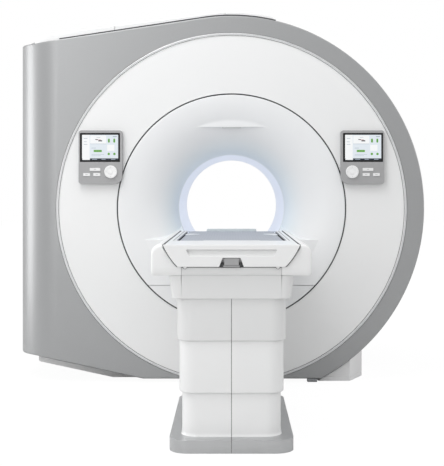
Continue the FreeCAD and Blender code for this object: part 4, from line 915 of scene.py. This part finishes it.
def shroudHalf(name, side, sign):
    half, front, back, low, high, flare, body, paint = shrouds[name]
    wall, edge, topEdge = shroudShell["wall"], shroudShell["edge"], shroudShell["topEdge"]
    section = [(wall, high), (topEdge, high), (0, high - topEdge)]
    if flare:
        rise = shroudShell["flareHeight"]
        section += [(-flare * (i / 6) ** 2, low + rise - rise * i / 6) for i in range(7)]
    else:
        section += [(edge * (1 - math.cos(i * math.pi / 8)), low + edge * (1 - math.sin(i * math.pi / 8)))
                    for i in range(5)]
    section.append((wall, low))
    rows = [[(sign * (x - inset * outX), y - inset * outY, z) for inset, z in section]
            for x, y, outX, outY in shroudPlan(half, front, back)]
    makePiece("%s%sShroud" % (side, name.capitalize()), skin(rows), body, paint, "white_cover",
              ("%s_shroud_%s" % (name, side),))


for name in shrouds:
    for side, sign in sides:
        shroudHalf(name, side, sign)
    # a dark strip between the halves, front and back, painted shade for the seam's gap
    _, front, back, low, high, _, body, _ = shrouds[name]
    strip, seam, inset, deep = bmesh.new(), shroudShell["seam"] - 0.1, shroudShell["sealSet"], shroudShell["sealDeep"]
    for near, far in ((front + inset, front + inset + deep), (back - inset - deep, back - inset)):
        slab([box(-seam, low + 1, seam, high - 1)], near, far, shape=strip)
    makePiece(name + "ShroudShadeStrip", strip, body, darkRubberAndShadeStrips, "white_cover")

print("table top")

# the housing under the wings widens a little towards them; its deeper white is painted shade under them
housing = {"low": 718, "high": 828, "half": 281.8, "spread": 14, "power": 6, "edge": 5}
for side, _ in sides:
    piece = softened("support_side_" + side, housingPaintWithPaintedShade, housing["edge"], 3)
    for point in piece.data.vertices:
        rise = (point.co.z / mm - housing["low"]) / (housing["high"] - housing["low"])
        spread = housing["spread"] * (abs(point.co.x) / mm / housing["half"]) ** housing["power"]
        point.co.x += math.copysign(spread * rise * mm, point.co.x)
softened("table_frame", trimAnodised, 1)

# the noses are how far the wing draws in at its rounded front: in depth, and from below, the side, the top and
# the trough
wing = {"half": 377.8, "bottom": 828, "top": 974, "lowRound": 16, "highRound": 42, "trough": 355, "floor": 869,
        "inner": 236, "front": -2640, "back": -905, "noseDeep": 16, "noseLow": 38, "noseSide": 15, "noseTop": 13,
        "noseTrough": 2.5, "noseSteps": 8, "lipRound": 2.5, "lipDeep": 10, "backEdge": 4, "backShare": 0.15}


def noseRows():
    # the depth of each row of the rounded front, and how far it is drawn in as a share of the whole
    turns = [math.pi / 2 * i / wing["noseSteps"] for i in range(wing["noseSteps"] + 1)]
    return [(wing["front"] + wing["noseDeep"] * (1 - math.cos(a)), 1 - math.sin(a)) for a in turns]


def wingSection(y, share, sign):
    low, side = wing["bottom"] + wing["noseLow"] * share, wing["half"] - wing["noseSide"] * share
    top, trough = wing["top"] - wing["noseTop"] * share, wing["trough"] + wing["noseTrough"] * share
    lip, below = arcPoints(trough, top, top - wing["lipDeep"], 1)
    outline = filleted([(wing["inner"], low, 0), (side, low, wing["lowRound"]), (side, top, wing["highRound"]),
                        (lip[0], top, wing["lipRound"]), (*below, 0)], 12)
    outline += arcPoints(trough, top - wing["lipDeep"], wing["floor"], 16)[1:] + [(wing["inner"], wing["floor"])]
    return [(sign * x, y, z) for x, z in outline]


for side, sign in sides:
    rows = [wingSection(y, share, sign) for y, share in noseRows()]
    rows += [wingSection(wing["back"] - wing["backEdge"], 0, sign), wingSection(wing["back"], wing["backShare"], sign)]
    makePiece(side + "TableWing", skin(rows), "lift_table", whitePaintSprayed, "white_cover", ("table_wing_" + side,))

# the front panel: a flat apron with the same rounded nose above it, and a dark strip along its top, which is painted
# shade for the gap under the end cap
apron = {"half": 234.6, "back": -2601, "front": -2625, "low": 718, "top": 866.4, "edge": 4, "seal": 2.2,
         "sealRound": 0.8, "sealSet": 4}
nose = [(y, wing["bottom"] + wing["noseLow"] * share) for y, share in reversed(noseRows())]
half, top = apron["half"], apron["top"]
profile = filleted([(apron["back"], apron["low"], 0), (apron["front"], apron["low"], apron["edge"]),
                    (apron["front"], wing["bottom"] - 0.3, 0)], 5)
profile += nose + [(wing["front"] + 0.6, top), (apron["back"], top)]
makePiece("tableApron", slab([profile], -half, half, sideways), "lift_table", housingPaintWithPaintedShade, "white_cover",
          ("support_front_panel",))
makePiece("apronShadeStrip", slab([box(1 - half, top + 0.05, half - 1, top + apron["seal"], apron["sealRound"], 2)],
                            wing["front"] + apron["sealSet"], apron["back"]), "lift_table", darkRubberAndShadeStrips,
          "white_cover")

# the end cap: the grip is its lower half width and height, then its upper ones, and the scoop's rows are how far
# each is drawn in and its share of the depth
cap = {"radius": 350.6, "bottom": 871, "top": 973, "front": -2661, "back": -2601, "edge": 4,
       "grip": (199, 920, 214, 952.5), "gripCorners": (12, 5), "gripDepth": 24, "gripLowDepth": 0.25,
       "scoop": ((0.5, 0.1), (1.4, 0.55), (2.6, 0.82), (4.4, 0.96), (5, 1)),
       "latchLow": 57.5, "latchHigh": 42, "latchTop": 913, "latchDepth": 21, "latchEdge": 0.4}


def drawnIn(loop, size):
    # the loop drawn in by this much along its corner directions
    result = []
    for i, (u, v) in enumerate(loop):
        here, before, after = Vector((u, v)), Vector(loop[i - 1]), Vector(loop[(i + 1) % len(loop)])
        first, last = (here - before).normalized(), (after - here).normalized()
        normal = Vector((-(first.y + last.y), first.x + last.x)).normalized()
        spread = max(0.3, normal.dot(Vector((-first.y, first.x))))
        result.append((u + normal.x * size / spread, v + normal.y * size / spread))
    return result


def endCap():
    right = arcPoints(cap["radius"], cap["bottom"], cap["top"], 14)
    notch = filleted([(-cap["latchLow"], cap["bottom"], 0), (-cap["latchHigh"], cap["latchTop"], 6),
                      (cap["latchHigh"], cap["latchTop"], 6), (cap["latchLow"], cap["bottom"], 0)], 5)
    outline = right + [(-u, v) for u, v in reversed(right)] + notch
    _, low, highHalf, high = cap["grip"]
    grip = trapezium(*cap["grip"], *cap["gripCorners"])
    shape = bmesh.new()
    front = [[shape.verts.new((u * mm, cap["front"] * mm, v * mm)) for u, v in loop] for loop in (outline, grip)]
    back = [shape.verts.new((u * mm, cap["back"] * mm, v * mm)) for u, v in outline]
    for paths in (front, [back]):
        edges = [shape.edges.new((path[i - 1], path[i])) for path in paths for i in range(len(path))]
        bmesh.ops.triangle_fill(shape, use_beauty=True, edges=edges)
    # the scoop is deepest at its top and runs out to a shallow lip below
    rows = [front[1]]
    for size, share in cap["scoop"]:
        row = []
        for u, v in drawnIn(grip, size):
            slope = cap["gripLowDepth"] + (1 - cap["gripLowDepth"]) * (v - low) / (high - low)
            row.append(shape.verts.new((u * mm, (cap["front"] + cap["gripDepth"] * share * slope) * mm, v * mm)))
        rows.append(row)
    for this, following in ((front[0], back), *zip(rows, rows[1:])):
        for i in range(len(this)):
            shape.faces.new((this[i - 1], this[i], following[i], following[i - 1]))
    shape.faces.new(rows[-1])

    def weigh(point):
        # the scoop has no edge width, the latch's notch and the long edges a small one
        x, y, z = abs(point.x), point.y, point.z
        if cap["front"] + 1 < y < cap["back"] - 1 and x < highHalf + 5 and low - 5 < z < high + 5:
            return 0.0
        onNotch = x < cap["latchLow"] + 3 and z < cap["latchTop"] + 3
        return cap["latchEdge"] if onNotch or cap["bottom"] + 2 < z < cap["top"] - 2 else 1

    weighEdges(shape, weigh)
    roundEdges(makePiece("tabletopEndCap", shape, "sliding_top", whitePaintSprayed, "white_cover",
                         ("cradle_end_cap",)), cap["edge"], 3, True)


endCap()

# the release handle: a plate with a pale lip below it, its shoulders set back and darker as painted shade, and clips
# beside it. The lip is its half width, bottom and top, the shoulders their lower and upper half widths and bottom, the
# pin its half length, radius, depth and height.
latch = {"half": 34, "bottom": 879, "top": 911, "front": -2657.5, "back": -2648, "edge": 1.6, "lip": (39, 870.8, 877),
         "lipProud": 1.5, "shoulders": (48, 40, 894), "shoulderFront": -2652, "shoulderBack": -2647.4,
         "pin": (55.6, 3, -2651, 907), "clipFront": -2656, "clipBack": -2640, "clipRound": 0.8, "clipEdge": 0.6,
         "clips": ((44, 57, 871.5, 880), (43, 51, 885.5, 889.5), (37, 39.5, 877.5, 889.5))}


def latchPieces():
    half, top = latch["half"], latch["top"]
    shape = slab([trapezium(half, latch["bottom"], half, top, 2, 4, 5)], latch["front"], latch["back"])
    lipHalf, low, high = latch["lip"]
    slab([box(-lipHalf, low, lipHalf, high, 2)], latch["front"] - latch["lipProud"], latch["back"], shape=shape)
    half, radius, y, z = latch["pin"]
    turns = [2 * math.pi * i / 16 for i in range(16)]
    skin([[(x, y + radius * math.cos(a), z + radius * math.sin(a)) for a in turns] for x in (-half, half)],
         shape=shape)
    roundEdges(makePiece("releaseHandle", shape, "release_lever", greyMoulded, "latch_grey", ("release_handle",)),
               latch["edge"], 3)
    lowHalf, highHalf, low = latch["shoulders"]
    outline = trapezium(lowHalf, low, highHalf, top - 0.5, 2, 3, 4)
    roundEdges(makePiece("releaseHandleShoulders", slab([outline], latch["shoulderFront"], latch["shoulderBack"]),
                         "release_lever", deepGreyMouldedAndShade, "latch_grey"), 1)
    # the socket at the back of the notch is deep grey as painted shade in the recess
    socket = slab([box(-cap["latchLow"] - 1, cap["bottom"] + 0.5, cap["latchLow"] + 1, cap["latchTop"] + 1, 3)],
                  cap["front"] + cap["latchDepth"], cap["back"] - 2)
    makePiece("latchSocket", socket, "sliding_top", deepGreyMouldedAndShade, "white_cover")
    clips = bmesh.new()
    for sign in (-1, 1):
        for left, right, low, high in latch["clips"]:
            slab([mirrored(box(left, low, right, high, latch["clipRound"]), sign)], latch["clipFront"],
                 latch["clipBack"], shape=clips)
    roundEdges(makePiece("latchClips", clips, "sliding_top", darkRubberAndShadeStrips, "latch_grey"), latch["clipEdge"])


latchPieces()
print("sliding top")

# the foam pad, flush in its pocket, with its front set back in the middle. Its cover starts lower by start, no
# point of it moves further than reach, and its sides are pinned up to hold.
pad = {"half": 279.6, "front": -2213, "back": -979, "bottom": 948.6, "top": 972.6, "notchHalf": 148, "notchDepth": 24,
       "corner": 6, "edge": 5, "voxel": 9, "start": 3.2, "reach": 4.2, "hold": 4, "frames": 20, "pressure": 4,
       "tension": 12, "quality": 4, "seamDrop": 4.5, "seamInset": 0.8, "piping": 1.2}


def padOutline(inset):
    # the plan of the pad, drawn in by this much
    half, front, back, corner = pad["half"] - inset, pad["front"] + inset, pad["back"] - inset, pad["corner"]
    notch, setBack = pad["notchHalf"] + inset, front + pad["notchDepth"]
    return filleted([(x, y, corner) for x, y in (
        (-half, front), (-notch, front), (-notch, setBack), (notch, setBack), (notch, front), (half, front),
        (half, back), (-half, back))], 4)


def blowUp(piece):
    # a pressed cloth, pinned where it rests; its result stays in the mesh
    mesh = piece.data
    rest = [point.co.copy() for point in mesh.vertices]
    pinned = piece.vertex_groups.new(name="pinned")
    pinned.add([i for i, at in enumerate(rest) if at.z / mm < pad["bottom"] + pad["hold"]], 1, "REPLACE")
    cover = piece.modifiers.new("cover", "CLOTH")
    settings = cover.settings
    settings.vertex_group_mass = "pinned"
    settings.quality = pad["quality"]
    settings.use_pressure = True
    settings.uniform_pressure_force = pad["pressure"]
    settings.tension_stiffness = settings.compression_stiffness = pad["tension"]
    settings.effector_weights.gravity = 0
    cover.point_cache.frame_end = pad["frames"]
    for number in range(1, pad["frames"] + 1):
        bpy.context.scene.frame_set(number)
    blown = evaluatedMesh(piece)
    piece.modifiers.clear()
    for point, before, after in zip(mesh.vertices, rest, blown.vertices):
        move = after.co - before
        point.co = before + move * min(1, pad["reach"] * mm / max(move.length, 1e-9))
        point.co.z = min(point.co.z, pad["top"] * mm)
        point.co.x = max(-pad["half"] * mm, min(pad["half"] * mm, point.co.x))
    piece.vertex_groups.clear()
    bpy.data.meshes.remove(blown)
    bpy.context.scene.frame_set(1)


def mattressCover():
    # a closed cover, remeshed, blown up a little by its foam and subdivided
    foam = sharpened(meshOf("mattressFoam", slab([padOutline(1)], pad["bottom"], pad["top"] - pad["start"], flatLaid)))
    start = addObject("mattressFoam", foam)
    roundEdges(start, pad["edge"], 3)
    remesh = start.modifiers.new("voxels", "REMESH")
    remesh.mode, remesh.voxel_size = "VOXEL", pad["voxel"] * mm
    mesh = evaluatedMesh(start)
    bpy.data.objects.remove(start)
    piece = makePiece("mattressCover", mesh, "sliding_top", vinylWelded, "mattress", ("mattress",))
    blowUp(piece)
    smoothed(mesh)
    smooth = piece.modifiers.new("smooth", "SUBSURF")
    smooth.levels = smooth.render_levels = 1


def mattressPiping():
    # a round welded seam along the cover's edge
    loop = [Vector((u, v, pad["top"] - pad["seamDrop"])) for u, v in padOutline(pad["seamInset"])]
    radius, rows = pad["piping"], []
    for i, here in enumerate(loop):
        run = (loop[(i + 1) % len(loop)] - loop[i - 1]).normalized()
        side = run.cross(Vector((0, 0, 1))).normalized()
        rows.append([tuple(here + side * radius * math.cos(a) + side.cross(run) * radius * math.sin(a))
                     for a in (math.pi / 4 * k for k in range(8))])
    makePiece("mattressPiping", skin(rows, True), "sliding_top", seamWelded, "mattress")


mattressCover()
mattressPiping()

# the coil sockets' housing at the head end: a chamfered block with round covers over its sockets
sockets = {"half": 157.5, "front": -974.5, "back": -925.5, "low": 948.5, "high": 985, "corner": 9, "edge": 3,
           "at": (-96, -32, 32, 96), "height": 972, "radius": 11, "proud": 1.6}
half, low, high, back = (sockets[key] for key in ("half", "low", "high", "back"))
outline = trapezium(half, low, half, high, 0, sockets["corner"])
roundEdges(makePiece("socketHousing", slab([outline], sockets["front"], back), "sliding_top", blueGreyMoulded,
                     "white_cover", ("socket_housing",)), sockets["edge"], 3)
shape = bmesh.new()
for x in sockets["at"]:
    skin([circleRow(sockets["radius"] - less, y, 24, x, sockets["height"]) for less, y in
          ((0, back - 3), (0, back + 0.3), (1, back + sockets["proud"]))], shape=shape)
makePiece("socketCovers", shape, "sliding_top", deepGreyMouldedAndShade, "white_cover")

# woven grip strips welded to the mattress's edges: wide at the outer end, and narrow at the inner one
straps = {"inner": 187, "outer": 266, "front": -1560, "back": -1425, "innerFront": -1470, "innerBack": -1445,
          "corner": 8, "deep": 3, "rise": 0.9, "edge": 0.5}
for side, sign in sides:
    loop = filleted([(x, y, straps["corner"]) for x, y in (
        (straps["inner"], straps["innerFront"]), (straps["outer"], straps["front"]),
        (straps["outer"], straps["back"]), (straps["inner"], straps["innerBack"]))], 4)
    shape = slab([mirrored(loop, sign)], pad["top"] - straps["deep"], pad["top"] + straps["rise"], flatLaid)
    roundEdges(makePiece(side + "GripStrip", shape, "sliding_top", strapWoven, "mattress"), straps["edge"])

# the cradle: a shell with a lip along each rim, a groove in each rim for accessories, a solid foot deck and the
# mattress's pocket, whose front wall follows the notch in the mattress
cradle = {"radius": 347, "bottom": 871, "top": 972, "lip": 317.2, "lipLow": 970, "lipRound": 0.8,
          "groove": (294.2, 298.4), "grooveDeep": 4.5, "pocket": 283, "floor": 948, "round": 1, "front": -2601,
          "deckEnd": -2217, "tongueEnd": -2193, "tongueHalf": 144, "back": -920, "sweep": 12, "step": 0.4}


def cradleSection(y, sunk, tongue):
    # right side from the bottom out to the lip, over the rim and into the pocket, then mirrored
    top, lip, lipLow, corner, pocket = (cradle[key] for key in ("top", "lip", "lipLow", "round", "pocket"))
    inner, outer = cradle["groove"]
    deep = top - cradle["grooveDeep"] if sunk else top
    floor = cradle["floor"] if sunk else top
    points = arcPoints(cradle["radius"], cradle["bottom"], lipLow, cradle["sweep"])
    points += [(lip, lipLow + 0.3), (lip, top - cradle["lipRound"]), (lip - cradle["lipRound"], top),
               (outer + 0.2, top), (outer, deep), (inner, deep), (inner - 0.2, top), (pocket + corner, top),
               (pocket, top - corner if sunk else top), (pocket - 0.2, floor), (cradle["tongueHalf"] + 1, floor),
               (cradle["tongueHalf"], top if tongue else floor)]
    return [(x, y, z) for x, z in points] + [(-x, y, z) for x, z in reversed(points)]


deckEnd, tongueEnd, step = cradle["deckEnd"], cradle["tongueEnd"], cradle["step"]
shape = skin([cradleSection(*station) for station in (
    (cradle["front"], False, False), (deckEnd, False, False), (deckEnd + step, True, True), (tongueEnd, True, True),
    (tongueEnd + step, True, False), (cradle["back"], True, False))])
bmesh.ops.remove_doubles(shape, verts=shape.verts, dist=0.02 * mm)
makePiece("cradleShell", shape, "sliding_top", tabletopGelCoated, "tabletop", ("cradle",))

# dark rubber as painted shade for the gaps: strips in the rims' grooves and along the pocket's walls, as their ends
# across, bottom and top, and round the trough, a ring at its mouth and a strip along its top edge
rimShadeStrips = {"strips": ((294.3, 298.3, 967.6, 970.8), (279.9, 282.5, 948.5, 966)), "front": -2215, "back": -921}
# and round the trough, as a gasket at its mouth and a strip along its top edge
troughShadeStrips = {"outer": 354.9, "inner": 351.2, "high": 972.4, "runs": ((873, -2636, -2606, 16),
                                                                    (964.4, -2605.8, -908, 3))}
for side, sign in sides:
    shape = bmesh.new()
    for left, right, low, high in rimShadeStrips["strips"]:
        slab([mirrored(box(left, low, right, high), sign)], rimShadeStrips["front"], rimShadeStrips["back"], shape=shape)
    makePiece(side + "RimShadeStrip", shape, "sliding_top", darkRubberAndShadeStrips, "tabletop")
    shape, high = bmesh.new(), troughShadeStrips["high"]
    for low, front, back, steps in troughShadeStrips["runs"]:
        outline = arcPoints(troughShadeStrips["outer"], low, high, steps) + arcPoints(troughShadeStrips["inner"], high, low, steps)
        slab([mirrored(outline, sign)], front, back, shape=shape)
    makePiece(side + "TroughShadeStrip", shape, "lift_table", darkRubberAndShadeStrips, "white_cover")

# two pale stops under the end cap, each half round with a dark edge behind it
stops = {"x": 217, "z": 870, "radius": 8.5, "rimRadius": 10.4, "front": -2652, "rimFront": -2649, "back": -2640,
         "edge": 0.8}
for name, radius, front, material in (("chinStops", stops["radius"], stops["front"], whiteMoulded),
                                      ("chinStopRims", stops["rimRadius"], stops["rimFront"], darkRubberAndShadeStrips)):
    shape = bmesh.new()
    turns = [math.pi + math.pi * i / 16 for i in range(17)]
    for x in (-stops["x"], stops["x"]):
        slab([[(x + radius * math.cos(a), stops["z"] + radius * math.sin(a)) for a in turns]], front, stops["back"],
             shape=shape)
    roundEdges(makePiece(name, shape, "lift_table", material, "white_cover"), stops["edge"])

print("inner parts")
for material, nodes in ((coilResinCast, ("gradient_coil",)), (darkRubberAndShadeStrips, ("drive_belt",)),
                        (steelPowderCoated, ("magnet_vessel", "cold_head", "magnet_feet", "lift_column_outer",
                                             "lift_column_middle", "lift_column_inner", "drive_motor"))):
    for node in nodes:
        holder = frame["nodes"][node]
        holder.data.materials.clear()
        holder.data.materials.append(material)
